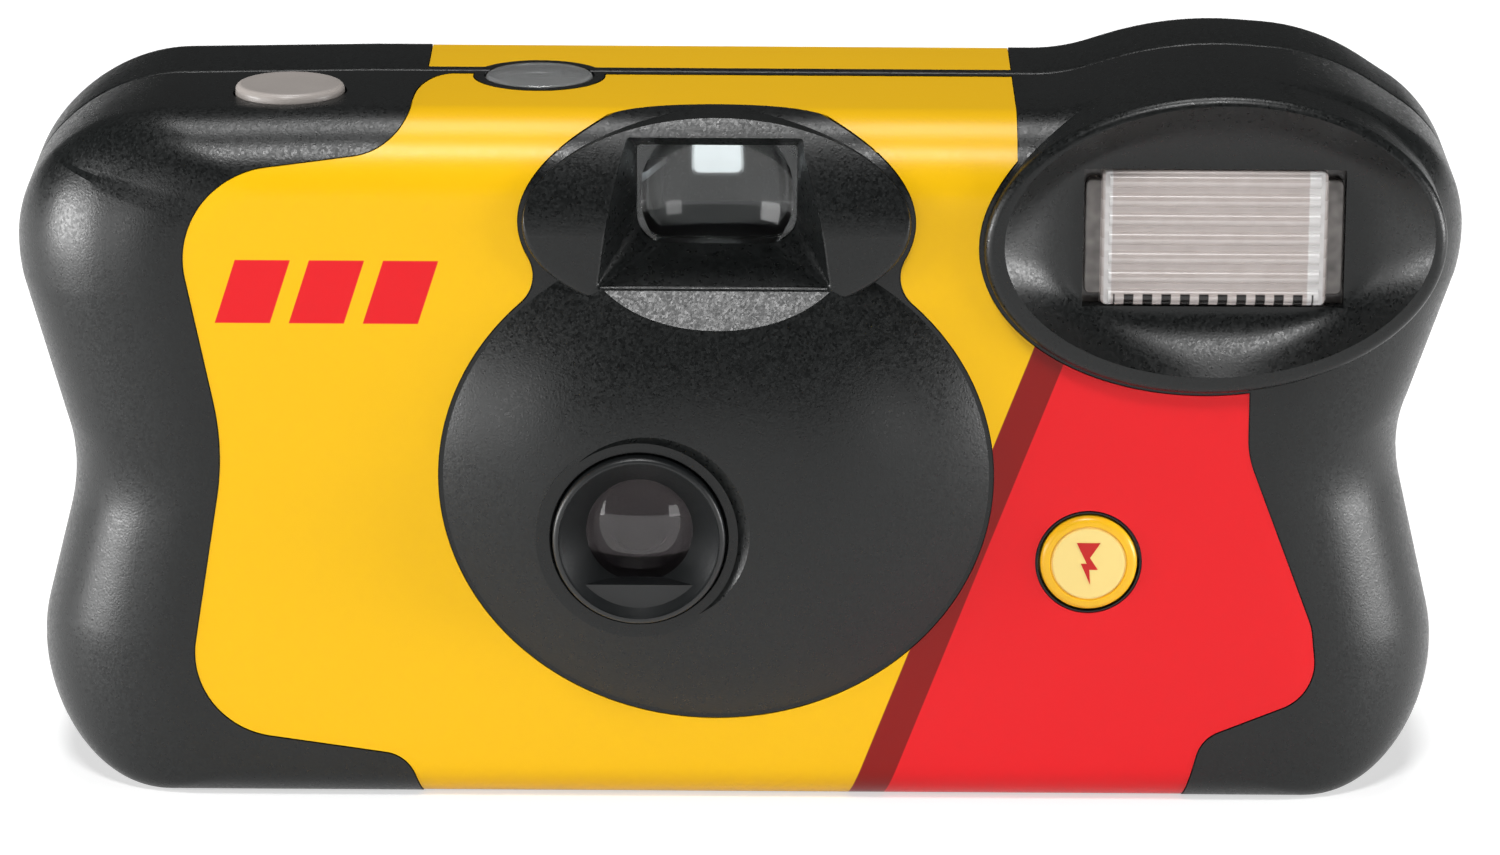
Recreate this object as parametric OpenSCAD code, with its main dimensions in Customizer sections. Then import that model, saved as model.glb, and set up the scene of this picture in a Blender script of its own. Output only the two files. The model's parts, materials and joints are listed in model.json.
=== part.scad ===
// Single-use 35 mm film camera with a built-in flash.
// +X is to the right seen from the front, the front faces -Y, +Z is up.
// The origin lies on the base plane, under the centre of the bounding box.

/* [Body] */
// Width across the widest part of both ends
body_w = 117; // [115:0.5:119]
// Height of the flat top above the base
body_h = 56.5; // [56:0.25:57.5]
// How far the flash end rises above the flat top
hump_rise = 2.4; // [1.8:0.2:3]
// Depth from the flat front to the rear face
body_depth = 31; // [30.5:0.25:32]
// Wall of the two covers
wall = 1.5; // [1.3:0.1:1.6]
// Distance from the flat front back to the seam of the covers
seam_depth = 18.5; // [17.5:0.5:19.5]
// How far the label lies in its recess
label_depth = 0.3; // [0.2:0.05:0.4]
// Bare plastic between the label and the seam
label_margin = 1.2; // [0.8:0.1:1.6]

/* [Dome and lens] */
// Rise of the oval dome above the flat front
dome_rise = 5; // [4.5:0.25:5.5]
// Half width of the dome
dome_a = 21.9; // [21:0.3:22.8]
// Half height of the dome
dome_b = 19.9; // [19:0.3:20.5]
// Place of the lens across the body
lens_x = -7.9; // [-8.4:0.1:-7.4]
// Radius of the ring round the lens
lens_ring_r = 6.9; // [6.5:0.1:7.2]
// Radius of the lens
lens_r = 4.6; // [4.2:0.1:4.8]

/* [Viewfinder] */
// Place of the viewfinder across the body
finder_x = -1.85; // [-2.4:0.1:-1.4]
// Width of the clear window
finder_w = 12.8; // [12:0.2:13.4]
// Height of the clear window
finder_h = 8.1; // [7.6:0.1:8.4]
// Half width of the oval hood
hood_a = 15.45; // [15:0.15:16.2]
// Half height of the oval hood
hood_b = 8; // [7.8:0.1:8.4]

/* [Flash] */
// Place of the flash across the body
flash_x = 38.3; // [37.8:0.1:38.8]
// Half width of the flash dish
dish_a = 17.1; // [16.6:0.1:17.4]
// Half height of the flash dish
dish_b = 11.1; // [10.7:0.1:11.2]
// Width of the flash lens
flash_lens_w = 18; // [17:0.2:18.6]
// Height of the flash lens
flash_lens_h = 11; // [10.4:0.1:11.2]
// Radius of the flash button
flash_button_r = 3.9; // [3.5:0.1:4.2]
// Travel of the flash button
flash_button_travel = 0.8; // [0.5:0.1:0.9]

/* [Controls] */
// Radius of the shutter button
shutter_button_r = 4.4; // [4:0.1:4.7]
// Travel of the shutter button
shutter_travel = 1.2; // [0.8:0.1:1.3]
// Radius of the winding wheel
wheel_r = 14; // [13.6:0.1:14.1]
// Grooves round the winding wheel
wheel_grooves = 44; // [32:2:48]
// Radius of the counter window
counter_window_r = 4.4; // [4:0.1:4.5]
// Radius of the counter wheel
counter_r = 6.6; // [6.2:0.1:6.8]

/* [Film and battery] */
// Radius of the film cartridge
cart_r = 12.5; // [12.3:0.1:12.6]
// Height of the cartridge between its end caps
cart_h = 43.6; // [43:0.1:43.8]
// Width of the film
film_w = 35; // [34.6:0.1:35.2]
// Width of the picture
gate_w = 36; // [35.6:0.1:36.2]
// Height of the picture
gate_h = 24; // [23.6:0.1:24.2]
// Radius of the unexposed film roll
roll_r = 8.6; // [7.6:0.1:8.7]
// Radius of the battery
battery_r = 7.25; // [6.9:0.05:7.25]
// Length of the battery without its button
battery_l = 49.2; // [48.6:0.1:49.3]
// Radius of the flash capacitor
capacitor_r = 5.4; // [4.6:0.1:5.5]
// Length of the flash capacitor
capacitor_l = 28; // [24:0.5:28.5]

/* [Hidden] */
$fn = 64;
arc_step = 9;
eps = 0.02;
slack = 0.3;

// Planes of the body
rear_y = (body_depth + dome_rise) / 2;
face_y = rear_y - body_depth;
seam_y = face_y + seam_depth;
in_rear = rear_y - wall;
in_front = face_y + wall;
in_top = body_h - wall;
half_w = body_w / 2;

// Depth of the rounding at the front edge and inset at the rear edge, by direction
front_round_side = 12;
front_round_top = 6.5;
front_round_base = 3;
rear_round_side = 8;
rear_round_top = 3.6;
rear_depth_side = 7;
rear_depth_top = 3.6;
front_rings = 6;
rear_rings = 4;

// Film path
gate_x0 = lens_x - gate_w / 2;
cart_x = gate_x0 - cart_r + 0.4;
cart_y = in_rear - 1 - cart_r;
cart_z = wall + 0.2;
cart_top = cart_z + cart_h;
lens_z = cart_z + cart_h / 2;
film_y = in_rear - 2.3;
film_t = 0.15;
roll_x = lens_x + gate_w / 2 + 12.4;
roll_y = film_y - roll_r;
roll_room_r = 9.3;
roll_wall_r = 10.4;
cart_room_r = cart_r + slack;
cart_wall_r = cart_r + 1.5;
perf_pitch = 4.75;
perf_w = 1.98;
perf_h = 2.79;
perf_z = lens_z + film_w / 2 - 2 - perf_h / 2;
film_x0 = cart_x + 4;
film_x1 = roll_x;

// Mechanism above the film
deck_z = lens_z + film_w / 2 + 0.8;
deck_t = 1;
deck_top = deck_z + deck_t;
sprocket_teeth = 8;
sprocket_r = sprocket_teeth * perf_pitch / (2 * PI);
sprocket_x = gate_x0 + 7.4;
sprocket_y = film_y - sprocket_r;
shaft_r = 1.4;
shaft_bore_r = 1.45;
pin_r = 1.2;
pin_bore_r = 1.25;
cam_z = deck_top + 0.5;
cam_t = 1.5;
cam_r = 4.2;
striker_z = cam_z + cam_t + 0.8;
striker_t = 1.4;
deck_room = in_top - 1 - deck_top;
spring_room = deck_room * 11 / 56;
keeper_z = striker_z + striker_t + spring_room;
keeper_t = 1;
counter_z = keeper_z + keeper_t + 0.6;
counter_t = 1.2;
counter_x = gate_x0 + 8.9;
counter_y = seam_y - 6.7;
latch_x = gate_x0 + 4.4;
latch_y = in_front + 10;
striker_x = lens_x - 5.6;
striker_y = in_front + 14;
wheel_z = cart_top + 1.5;
wheel_t = 4;
window_x = gate_x0 + 9.5;
window_y = seam_y - 1.7;
button_x = cart_x + 1.7;
button_y = face_y + 11;
button_flange_z = in_top - 2 * slack - 1.4;

// Front features
dome_x = finder_x + 0.05;
dome_power = 2.6;
shelf_slope = 50;
dome_z = lens_z + 3.9;
collar_y = face_y - dome_rise + 0.9;
hood_z = body_h - hood_b;
hood_y = face_y - 1.2;
hood_lean = 4.2;
finder_z = hood_z + 1.25;
finder_y = face_y + 4.3;
flash_z = lens_z + 23.2;
flash_tilt = 2.4;
rim_y = face_y - 1.2;
rim_a = dish_a + 1.3;
rim_b = dish_b + 1.1;
rim_x = flash_x - 0.5;
rim_z = flash_z + 0.3;
dish_x = flash_x - 0.2;
dish_z = flash_z + 0.7;
dish_depth = 3.1;
flash_lens_y = rim_y + dish_depth - 0.2;
flash_lens_x = flash_x - 0.5;
flash_lens_z = flash_z + 0.3;
flash_button_x = lens_x + 36.1;
flash_button_z = lens_z - 3;
blade_y = in_front + 0.7;
blade_t = 0.4;
board_y = blade_y + blade_t + 0.2;
board_t = 1.2;
plate_y = blade_y - 1.4;
plate_t = 1;
pivot_x = lens_x - 4.1;
pivot_z = lens_z + 9.5;
aperture_r = 1.2;

// Flash unit
battery_x = roll_x + roll_wall_r + battery_r + 0.35;
battery_y = in_rear - 0.35 - battery_r;
battery_z = wall + 3.1;
battery_top = battery_z + battery_l;
pcb_t = 1.2;
pcb_y = battery_y - battery_r - 0.45 - pcb_t;
pcb_x0 = roll_x + roll_wall_r + 0.9;
pcb_x1 = half_w - 7.6;
shelf_z = wall + 0.7;
shelf_t = 0.8;
shelf_top = shelf_z + shelf_t;
flange_t = 0.8;
capacitor_x = pcb_x0 + capacitor_r + 0.2;
capacitor_y = pcb_y - 0.2 - capacitor_r;
capacitor_z = wall + 4;
parts_x = pcb_x1 - 3;
lamp_x = roll_x + 5.5;
lamp_z = finder_z;
tube_y = rim_y + dish_depth + 5.7;
mouth_y = tube_y - 3.4;
trough_depth = 5.8;
foot_x = latch_x - 4.3;
foot_y = latch_y - 6.2;

frame_z = wall + 0.7;
foot_rise = 4.5;
spool_r = 4.9;
hub_r = 5.4;
core_r = 4.5;
keeper_posts = [[lens_x - 3.4, film_y - 2.9], [sprocket_x - 4.1, film_y - 1.6]];
plate_posts = [[lens_x + 6.5, lens_z - 6.4], [lens_x - 6.5, lens_z - 6.4], [lens_x + 6, lens_z + 10.5]];
room_feet = [[cart_x + 8.5, cart_y - cart_r + 2], [cart_x - 8.5, cart_y - cart_r + 2]];
shelf_feet = [[roll_x, roll_y], [battery_x - 3, pcb_y - 6], [battery_x + 3, battery_y]];
switch_y = in_front + 3.3 + flash_button_travel;
switch_z = flash_button_z - 5;
finder_lens_z = finder_z - finder_h / 2 - 0.4;

// Corners run anticlockwise seen from the front: [x, z, corner radius]
hump_z = body_h + hump_rise;
label_gap = 0.4;
label_left = -25.5;
body_corners = [
    [half_w - 1.6, 0, 10.5], [half_w - 1.6, 12.3, 13], [half_w - 5.4, 28.5, 14],
    [half_w + 0.25, 44.8, 10], [half_w - 0.9, body_h - 4.5, 10.5], [half_w - 10.9, hump_z - 0.3, 18],
    [half_w - 23.3, hump_z + 0.6, 30], [half_w - 32.5, body_h, 14], [-half_w + 28.5, body_h, 40],
    [-half_w + 7.3, body_h - 0.4, 14], [-half_w - 1.3, body_h - 9.2, 11], [-half_w + 4.9, 25.6, 16],
    [-half_w + 1.6, 12.3, 13], [-half_w + 1.6, 0, 10.5]];
face_corners = [
    [half_w - 14, 3, 6], [half_w - 14, 12.3, 8], [half_w - 16.7, 26, 10],
    [half_w - 13, 42, 5], [half_w - 14.5, body_h - 8.6, 4], [half_w - 19.5, hump_z - 6.6, 6],
    [half_w - 26, hump_z - 6.2, 8], [half_w - 33, body_h - 6.5, 8], [-half_w + 28.5, body_h - 6.5, 20],
    [-half_w + 20, body_h - 6.5, 5], [-half_w + 13.4, body_h - 11, 6], [-half_w + 16.7, 26, 10],
    [-half_w + 14, 12.3, 8], [-half_w + 14, 3, 6]];
label_corners = [
    [34.5, -6, 0], [37.6, 5.6, 3], [46.9, 9.4, 4], [46.3, 15, 5], [40.8, 29.5, 8], [40.8, 44, 0],
    [22, 44, 0], [22, body_h + 6, 0], [label_left, body_h + 6, 0], [label_left, body_h - 2.4, 6],
    [-45.8, body_h - 4.9, 7.5], [-41.2, 29.5, 22], [-44.8, 6.4, 7], [-26.6, 3.8, 3], [-23.4, -6, 0]];
rear_label_corners = [
    [label_left, body_h + 6, 0], [label_left, 43, 3], [-43, 41, 4], [-43, 6, 4], [label_left, 3.4, 2],
    [label_left, -6, 0], [35.5, -6, 0], [35.5, 3.4, 2], [46, 6, 4], [46, 41, 4], [22, 43, 3],
    [22, body_h + 6, 0]];

// Points and outward normals of a rounded outline

function unit(v) = v / norm(v);
function flat(v) = [v[0], v[1]];
function spun(v, a) = [v[0] * cos(a) - v[1] * sin(a), v[0] * sin(a) + v[1] * cos(a)];
function before(c, i) = unit(flat(c[i]) - flat(c[(i + len(c) - 1) % len(c)]));
function after(c, i) = unit(flat(c[(i + 1) % len(c)]) - flat(c[i]));
function turn(c, i) =
    let (u = before(c, i), v = after(c, i)) atan2(u[0] * v[1] - u[1] * v[0], u * v);
function steps(c, i) = c[i][2] == 0 ? 0 : max(2, ceil(abs(turn(c, i)) / arc_step));
function corner(c, i, n) =
    let (a = turn(c, i), side = sign(a), r = c[i][2], u = before(c, i), out = [u[1], -u[0]],
         start = flat(c[i]) - u * r * tan(abs(a) / 2), centre = start - out * side * r)
    [for (k = [0:n]) let (m = spun(out, n == 0 ? a / 2 : a * k / n)) [centre + m * side * r, m]];
function rounded(c, like) = [for (i = [0:len(c) - 1]) each corner(c, i, steps(like, i))];
function points(c) = [for (p = rounded(c, c)) p[0]];
function oval(a, b, tilt = 0, n = 48) =
    [for (k = [0:n - 1]) spun([a * cos(360 * k / n), b * sin(360 * k / n)], tilt)];
function soft_box(w, h, n = 48, power = 0.3) =
    [for (k = [0:n - 1]) let (c = cos(360 * k / n), s = sin(360 * k / n))
        [w / 2 * sign(c) * pow(abs(c), power), h / 2 * sign(s) * pow(abs(s), power)]];
function at_y(line, y, x = 0, z = 0) = [for (p = line) [p[0] + x, y, p[1] + z]];
function middle(r) = [for (k = [0:2]) (max([for (p = r) p[k]]) + min([for (p = r) p[k]])) / 2];
function blend(side, top, n) = side * n[0] * n[0] + top * n[1] * n[1];

outline = rounded(body_corners, body_corners);
face_line = [for (p = rounded(face_corners, body_corners)) p[0]];

// Rings of the moulded skin, inset by w: t runs from the straight wall to the flat face
function front_ring(w, t) = [for (i = [0:len(outline) - 1])
    let (n = outline[i][1], p = outline[i][0] - n * w, f = face_line[i], s = 1 - cos(90 * t),
         depth = blend(front_round_side, n[1] > 0 ? front_round_top : front_round_base, n) - w)
    [p[0] + (f[0] - p[0]) * s, face_y + w + depth * (1 - sin(90 * t)), p[1] + (f[1] - p[1]) * s]];
function rear_ring(w, t) = [for (p = outline)
    let (n = p[1], inset = w + (blend(rear_round_side, rear_round_top, n) - w) * (1 - cos(90 * t)),
         depth = blend(rear_depth_side, rear_depth_top, n) - w)
    [p[0][0] - n[0] * inset, rear_y - w - depth * (1 - sin(90 * t)), p[0][1] - n[1] * inset]];
function edge_ring(w, y) = at_y([for (p = outline) p[0] - p[1] * w], y);

// Solid through rings that run anticlockwise seen from the front, from the rear to the front
module loft(rings) {
    n = len(rings[0]);
    m = len(rings);
    polyhedron(concat([for (r = rings) each r], [middle(rings[0]), middle(rings[m - 1])]), concat(
        [for (j = [0:m - 2], i = [0:n - 1]) let (a = j * n + i, b = j * n + (i + 1) % n)
            each [[a, a + n, b], [b, a + n, b + n]]],
        [for (i = [0:n - 1]) [m * n, i, (i + 1) % n]],
        [for (i = [0:n - 1]) [m * n + 1, (m - 1) * n + (i + 1) % n, (m - 1) * n + i]]));
}

module front_form(w, y1, n = front_rings) {
    loft(concat([edge_ring(w, y1)], [for (k = [0:n]) front_ring(w, k / n)]));
}

module rear_form(w, y0, n = rear_rings) {
    loft(concat([for (k = [n:-1:0]) rear_ring(w, k / n)], [edge_ring(w, y0)]));
}

// Prism along Y of an outline drawn as seen from the front
module through(y0, y1) {
    translate([0, y1, 0]) rotate([90, 0, 0]) linear_extrude(y1 - y0) children();
}

module rod_y(r, y0, y1, x, z) {
    translate([x, y1, z]) rotate([90, 0, 0]) cylinder(r = r, h = y1 - y0);
}

module rod_z(r, z0, z1, x, y) {
    translate([x, y, z0]) cylinder(r = r, h = z1 - z0);
}

module box(x0, x1, y0, y1, z0, z1) {
    translate([x0, y0, z0]) cube([x1 - x0, y1 - y0, z1 - z0]);
}

// Arm of a lever between two round ends, seen from above
module arm(a, b, ra, rb, z, t) {
    translate([0, 0, z]) linear_extrude(t) hull() {
        translate(a) circle(ra, $fn = 32);
        translate(b) circle(rb, $fn = 32);
    }
}

// Front features shared by the cover and the label

module dome(w) {
    rings = 7;
    loft(concat([at_y(oval(dome_a - w, dome_b - w), face_y + w + 0.7, dome_x, dome_z)],
        [for (k = [0:rings - 1]) let (t = cos(90 * k / rings))
            at_y(oval((dome_a - w) * t, (dome_b - w) * t),
                face_y + w - dome_rise * (1 - pow(t, dome_power)), dome_x, dome_z)]));
}

// Front of the hood, leaning back towards the top: points [y, z]
function hood_front(n = 8) = [for (k = [0:n]) let (s = k / n)
    [hood_y + hood_lean * s * s, hood_z - 1.5 + (hood_b + 2.5) * s]];

module hood() {
    soft = 0.5;
    intersection() {
        loft([for (p = [[0, face_y + front_round_top], [0, hood_y + soft], [0.15, hood_y + 0.15],
                        [soft, hood_y]])
            at_y(oval(hood_a - p[0], hood_b - p[0]), p[1], finder_x, hood_z)]);
        along_x(finder_x - 2 * hood_a, finder_x + 2 * hood_a)
            polygon(concat([[seam_y, hood_z - 2 * hood_b], [hood_y - 1, hood_z - 2 * hood_b],
                            [hood_y - 1, hood_z - 1.5]], hood_front(), [[seam_y, hood_z + hood_b + 1]]));
    }
}

// Shelf under the viewfinder, cut back into the dome
module shelf_cut() {
    intersection() {
        through(face_y - 2 * dome_rise, hood_y) translate([finder_x, hood_z]) polygon(oval(13.2, 8.8));
        translate([finder_x, hood_y, hood_z - 4.9]) rotate([shelf_slope, 0, 0])
            translate([-20, -20, 0]) cube([40, 22, 30]);
    }
}

module finder_funnel(g) {
    mouth = [[-9.35 - g, -6.2 - g], [8.95 + g, -6.2 - g], [7.1 + g, 6.3 + g / 2],
             [-7.7 - g, 6.3 + g / 2]];
    w = finder_w / 2 + g;
    h = finder_h / 2 + g;
    hull() {
        translate([finder_x, 0, finder_z]) through(hood_y - 1, hood_y) polygon(mouth);
        translate([finder_x, 0, finder_z]) through(finder_y - eps, finder_y)
            polygon([[-w, -h + 2], [-w + 2, -h], [w - 2, -h], [w, -h + 2], [w, h], [-w, h]]);
    }
}

module flash_barrel(w, y0, y1) {
    soft = w == 0 ? 0.8 : 0;
    loft([for (p = [[0, y1], [0, y0 + soft], [soft * 0.3, y0 + soft * 0.3], [soft, y0]])
        if (p[0] == 0 || soft > 0)
        at_y(oval(rim_a - w - p[0], rim_b - w - p[0], flash_tilt), p[1], rim_x, rim_z)]);
}

module dish(g) {
    n = 5;
    rim = oval(dish_a + g, dish_b + g, flash_tilt);
    floor_line = soft_box(flash_lens_w + 2.9 + 2 * g, flash_lens_h + 0.6 + 2 * g);
    shift = [flash_lens_x - dish_x, flash_lens_z - dish_z];
    loft(concat(
        [for (k = [n:-1:0]) let (s = k / n)
            [for (i = [0:len(rim) - 1]) let (p = rim[i] * (1 - s) + (floor_line[i] + shift) * s)
                [p[0] + dish_x, rim_y + g + dish_depth * sin(90 * s), p[1] + dish_z]]],
        [at_y(rim, rim_y - 2, dish_x, dish_z)]));
}

module lens_collar(g) {
    rod_y(lens_ring_r + 0.15 + g, collar_y, in_front + 1, lens_x, lens_z);
}

// Relief in both covers for the ends of the cartridge
module cartridge_room() {
    rod_z(cart_room_r, cart_z - 0.2, cart_top + 0.2, cart_x, cart_y);
}

module front_hollow() {
    difference() {
        union() {
            front_form(wall, seam_y + 1, 3);
            dome(wall);
            flash_barrel(wall, rim_y + 1.6, in_front + 6);
            cartridge_room();
        }
        finder_funnel(1.2);
        dish(1.3);
    }
}

module dome_and_hood_outline(g) {
    offset(r = -3) offset(r = 3 + g) {
        translate([dome_x, dome_z]) polygon(oval(dome_a, dome_b));
        translate([finder_x, hood_z]) polygon(oval(hood_a, hood_b + 0.8));
    }
}

module label_outline(g) {
    difference() {
        offset(delta = g) polygon(points(label_corners));
        translate([rim_x, rim_z])
            polygon(oval(rim_a + label_gap - g, rim_b + label_gap - g, flash_tilt));
        translate([flash_button_x, flash_button_z]) circle(flash_button_r + label_gap - g);
    }
}

// Opening of the label round dome and hood, ending in an oval on the top
module hood_opening(g) {
    reach = front_round_top + 1.8;
    intersection() {
        through(face_y - 2, face_y + front_round_top + 3) dome_and_hood_outline(label_gap - g);
        union() {
            box(-half_w, half_w, face_y - 3, face_y + 2, 0, body_h - front_round_top);
            translate([finder_x, hood_y, 0]) linear_extrude(body_h + 2)
                polygon(oval(hood_a + label_gap - g, reach - g));
        }
    }
}

module label_prism(g) {
    difference() {
        through(face_y - 1, seam_y - label_margin + g) label_outline(g);
        hood_opening(g);
        window_surround(g);
        label_shoulder(g);
    }
}

module window_surround(g) {
    rod_z(counter_window_r + 1 - g, in_top - 1, body_h + 1, window_x, window_y);
}

// Long corner of the front label beside the seam, seen from above
module label_shoulder(g) {
    a = 2.2;
    b = 9;
    x = label_left + a;
    y = seam_y - label_margin - b;
    translate([0, 0, in_top - 2]) linear_extrude(6) difference() {
        translate([x - a - 1, y]) square([a + 1, b + 1]);
        translate([x, y]) polygon(oval(a + g, b + g));
    }
}

module front_cover() {
    color("#2b2e2e") difference() {
        union() {
            difference() {
                front_form(0, seam_y);
                difference() {
                    label_prism(0.1);
                    front_form(label_depth, seam_y + 2);
                }
            }
            difference() {
                union() {
                    dome(0);
                    hood();
                }
                shelf_cut();
            }
            flash_barrel(0, rim_y, in_front + 5);
            lens_collar(1.2);
        }
        front_hollow();
        finder_funnel(0);
        dish(0);
        rod_y(lens_ring_r + 0.15, face_y - 2 * dome_rise, in_front + 2, lens_x, lens_z);
        translate([lens_x, collar_y, lens_z]) rotate([90, 0, 0])
            cylinder(r1 = lens_ring_r + 1, r2 = lens_ring_r + 2.4, h = 1.2);
        flash_window(0.15);
        rod_y(flash_button_r + 0.2, face_y - 2, in_front + 1, flash_button_x, flash_button_z);
        rod_z(shutter_button_r + 0.2, in_top - 1, body_h + 1, button_x, button_y);
        rod_z(counter_window_r + 0.1, in_top - 1, body_h + 1, window_x, window_y);
    }
}

// Clear opening behind the dish, wide enough for the clips of the flash lens
module flash_window(g) {
    translate([flash_lens_x, 0, flash_lens_z])
        through(rim_y + 1.5, rim_y + dish_depth + 3)
            square([flash_lens_w + 2.6 + 2 * g, flash_lens_h + 2 * g], center = true);
}

// Thumb recess round the exposed edge of the winding wheel
module thumb_recess(g) {
    mid = wheel_z + wheel_t / 2;
    hull() {
        box(cart_x - 13 - g, cart_x + 13 + g, rear_y, rear_y + 1, mid - 4.9 - g / 2, mid + 5 + g);
        box(cart_x - 8 - g, cart_x + 8 + g, rear_y - 2.4 - g, rear_y, mid - 2.5 - g / 2, mid + 3 + g);
    }
}

module eyepiece_opening(g, y0, y1) {
    translate([finder_x, 0, finder_z]) through(y0, y1) polygon(soft_box(8 + 2 * g, 6.4 + 2 * g, 32));
}

module rear_cover() {
    mid = wheel_z + wheel_t / 2;
    color("#26292a") difference() {
        union() {
            difference() {
                rear_form(0, seam_y);
                difference() {
                    rear_label_prism(0.1);
                    rear_form(label_depth, seam_y - 2);
                }
                thumb_recess(0);
                difference() {
                    rear_form(wall, seam_y - 1, 3);
                    thumb_recess(1.2);
                }
            }
            for (z = [lens_z - film_w / 2 + 0.2, lens_z + film_w / 2 - 1.6])
                box(cart_x + 14, roll_x - 11, film_y + film_t + 0.3, in_rear + 0.5, z, z + 1.4);
            for (x = [-16, 2]) box(x, x + 7, seam_y - 3, in_rear - 3, wall - eps, wall + 1);
        }
        box(cart_x - 9.4, cart_x + 9.4, in_rear - 6, rear_y + 1, mid - wheel_t / 2 - 0.4,
            mid + wheel_t / 2 + 0.4);
        cartridge_room();
        eyepiece_opening(0.2, in_rear - 1, rear_y + 1);
        rod_y(2.1, in_rear - 1, rear_y + 1, lamp_x, lamp_z);
        rod_z(counter_window_r + 0.1, in_top - 1, body_h + 1, window_x, window_y);
        for (x = [-16, 2]) box(x - 1, x + 8, seam_y - 4, seam_y + eps, 0, wall + 0.1);
    }
}

module rear_label_outline(g) {
    difference() {
        offset(delta = g) polygon(points(rear_label_corners));
        translate([finder_x, finder_z]) polygon(soft_box(13 - 2 * g, 11 - 2 * g, 32));
    }
}

module rear_label_prism(g) {
    difference() {
        through(seam_y + label_margin - g, rear_y + 1) rear_label_outline(g);
        window_surround(g);
    }
}

// Labels are sheets set flush in shallow recesses of the covers

module front_label() {
    color("#fdc50c") difference() {
        intersection() {
            front_form(0.05, seam_y);
            label_prism(0);
        }
        front_form(label_depth, seam_y + 1);
    }
}

module rear_label() {
    color("#fdc50c") difference() {
        intersection() {
            rear_form(0.05, seam_y);
            rear_label_prism(0);
        }
        rear_form(label_depth, seam_y - 1);
    }
}

// Frame that carries the film, the lens and the mechanism

module dark_box(g, y0, y1) {
    hull() {
        translate([lens_x, 0, lens_z]) through(y1 - eps, y1)
            square([gate_w + 0.4 + 2 * g, gate_h + 0.4 + 2 * g], center = true);
        translate([lens_x, 0, lens_z]) through(y0, y0 + eps)
            square([7 + 2 * g, 6 + 2 * g], center = true);
    }
}

module rooms() {
    intersection() {
        rod_z(cart_wall_r, frame_z + foot_rise - 0.5, wheel_z - 0.2, cart_x, cart_y);
        box(cart_x - 20, cart_x + 20, cart_y - 20, cart_y + 6, 0, body_h);
    }
    intersection() {
        rod_z(roll_wall_r, frame_z, deck_top, roll_x, roll_y);
        box(roll_x - 20, roll_x + 20, roll_y - 20, roll_y + 4, 0, body_h);
    }
}

module deck_posts() {
    for (p = keeper_posts) rod_z(1.3, deck_z, keeper_z, p[0], p[1]);
    rod_z(pin_r, deck_z, keeper_z, latch_x, latch_y);
    rod_z(pin_r, deck_z, keeper_z, striker_x, striker_y);
    box(finder_x - 7.6, finder_x + 7.6, finder_y + 0.3, finder_y + 3.5, deck_z, finder_lens_z);
}

module main_frame() {
    color("#1b1d1e") difference() {
        union() {
            rooms();
            dark_box(1.2, board_y + board_t - 0.1, film_y - 0.3);
            box(lens_x - gate_w / 2 - 1.8, lens_x + gate_w / 2 + 1.8, film_y - 1.6, film_y - 0.2,
                lens_z - film_w / 2 - 1, deck_top);
            box(cart_x + 11, roll_x + 4, board_y + 0.4, film_y - 0.4, deck_z, deck_top);
            box(lens_x - 9, lens_x + 8, board_y, board_y + board_t, lens_z - 9, deck_top);
            deck_posts();
            rod_z(2.6, lens_z + 9, perf_z - 1.3, sprocket_x, sprocket_y);
            for (p = plate_posts) rod_y(1.2, plate_y + plate_t, board_y + 0.5, p[0], p[1]);
            rod_y(1, plate_y + plate_t, board_y + 0.5, pivot_x, pivot_z);
            box(roll_x + 2.5, roll_x + 8.5, switch_y, roll_y - 2, switch_z - 4.5, switch_z);
            box(roll_x + 8, pcb_x0 - 0.2, pcb_y - 3, pcb_y + 3, frame_z, deck_z - 4);
            box(roll_x + 8, battery_x + 8.5, pcb_y - 9, battery_y + 4, shelf_z, shelf_top);
            for (p = room_feet) rod_z(1.5, wall, frame_z + foot_rise, p[0], p[1]);
            for (p = shelf_feet) rod_z(1.5, wall, shelf_top, p[0], p[1]);
        }
        rod_z(cart_room_r, 0, cart_top + 0.3, cart_x, cart_y);
        rod_z(hub_r + 0.05, cart_top, wheel_z, cart_x, cart_y);
        difference() {
            rod_z(roll_room_r, shelf_top, deck_z, roll_x, roll_y);
            rod_z(pin_r, 0, shelf_z + 6, roll_x, roll_y);
            rod_z(pin_r, deck_z - 5, deck_top, roll_x, roll_y);
        }
        dark_box(0, board_y + board_t, film_y);
        rod_y(aperture_r, board_y - 1, board_y + board_t + 1, lens_x, lens_z);
        rod_z(shaft_bore_r, perf_z - 2.8, deck_top + 1, sprocket_x, sprocket_y);
        rod_z(sprocket_r + 1.3, perf_z - 1.1, perf_z + 1.1, sprocket_x, sprocket_y);
    }
}

// Film and cartridge

module cartridge_shell() {
    color("#d8b21f") difference() {
        rod_z(cart_r, cart_z + 1, cart_top - 1, cart_x, cart_y);
        rod_z(cart_r - 0.35, cart_z, cart_top, cart_x, cart_y);
        box(cart_x + 2, cart_x + 14, film_y - 0.4, film_y + film_t + 0.4,
            lens_z - film_w / 2 - 0.4, lens_z + film_w / 2 + 0.4);
    }
}

module cartridge_end_caps() {
    color("#b9bcbe") for (z = [cart_z, cart_top - 1]) difference() {
        rod_z(cart_r, z, z + 1, cart_x, cart_y);
        rod_z(spool_r + 0.1, z - 1, z + 2, cart_x, cart_y);
    }
}

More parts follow.
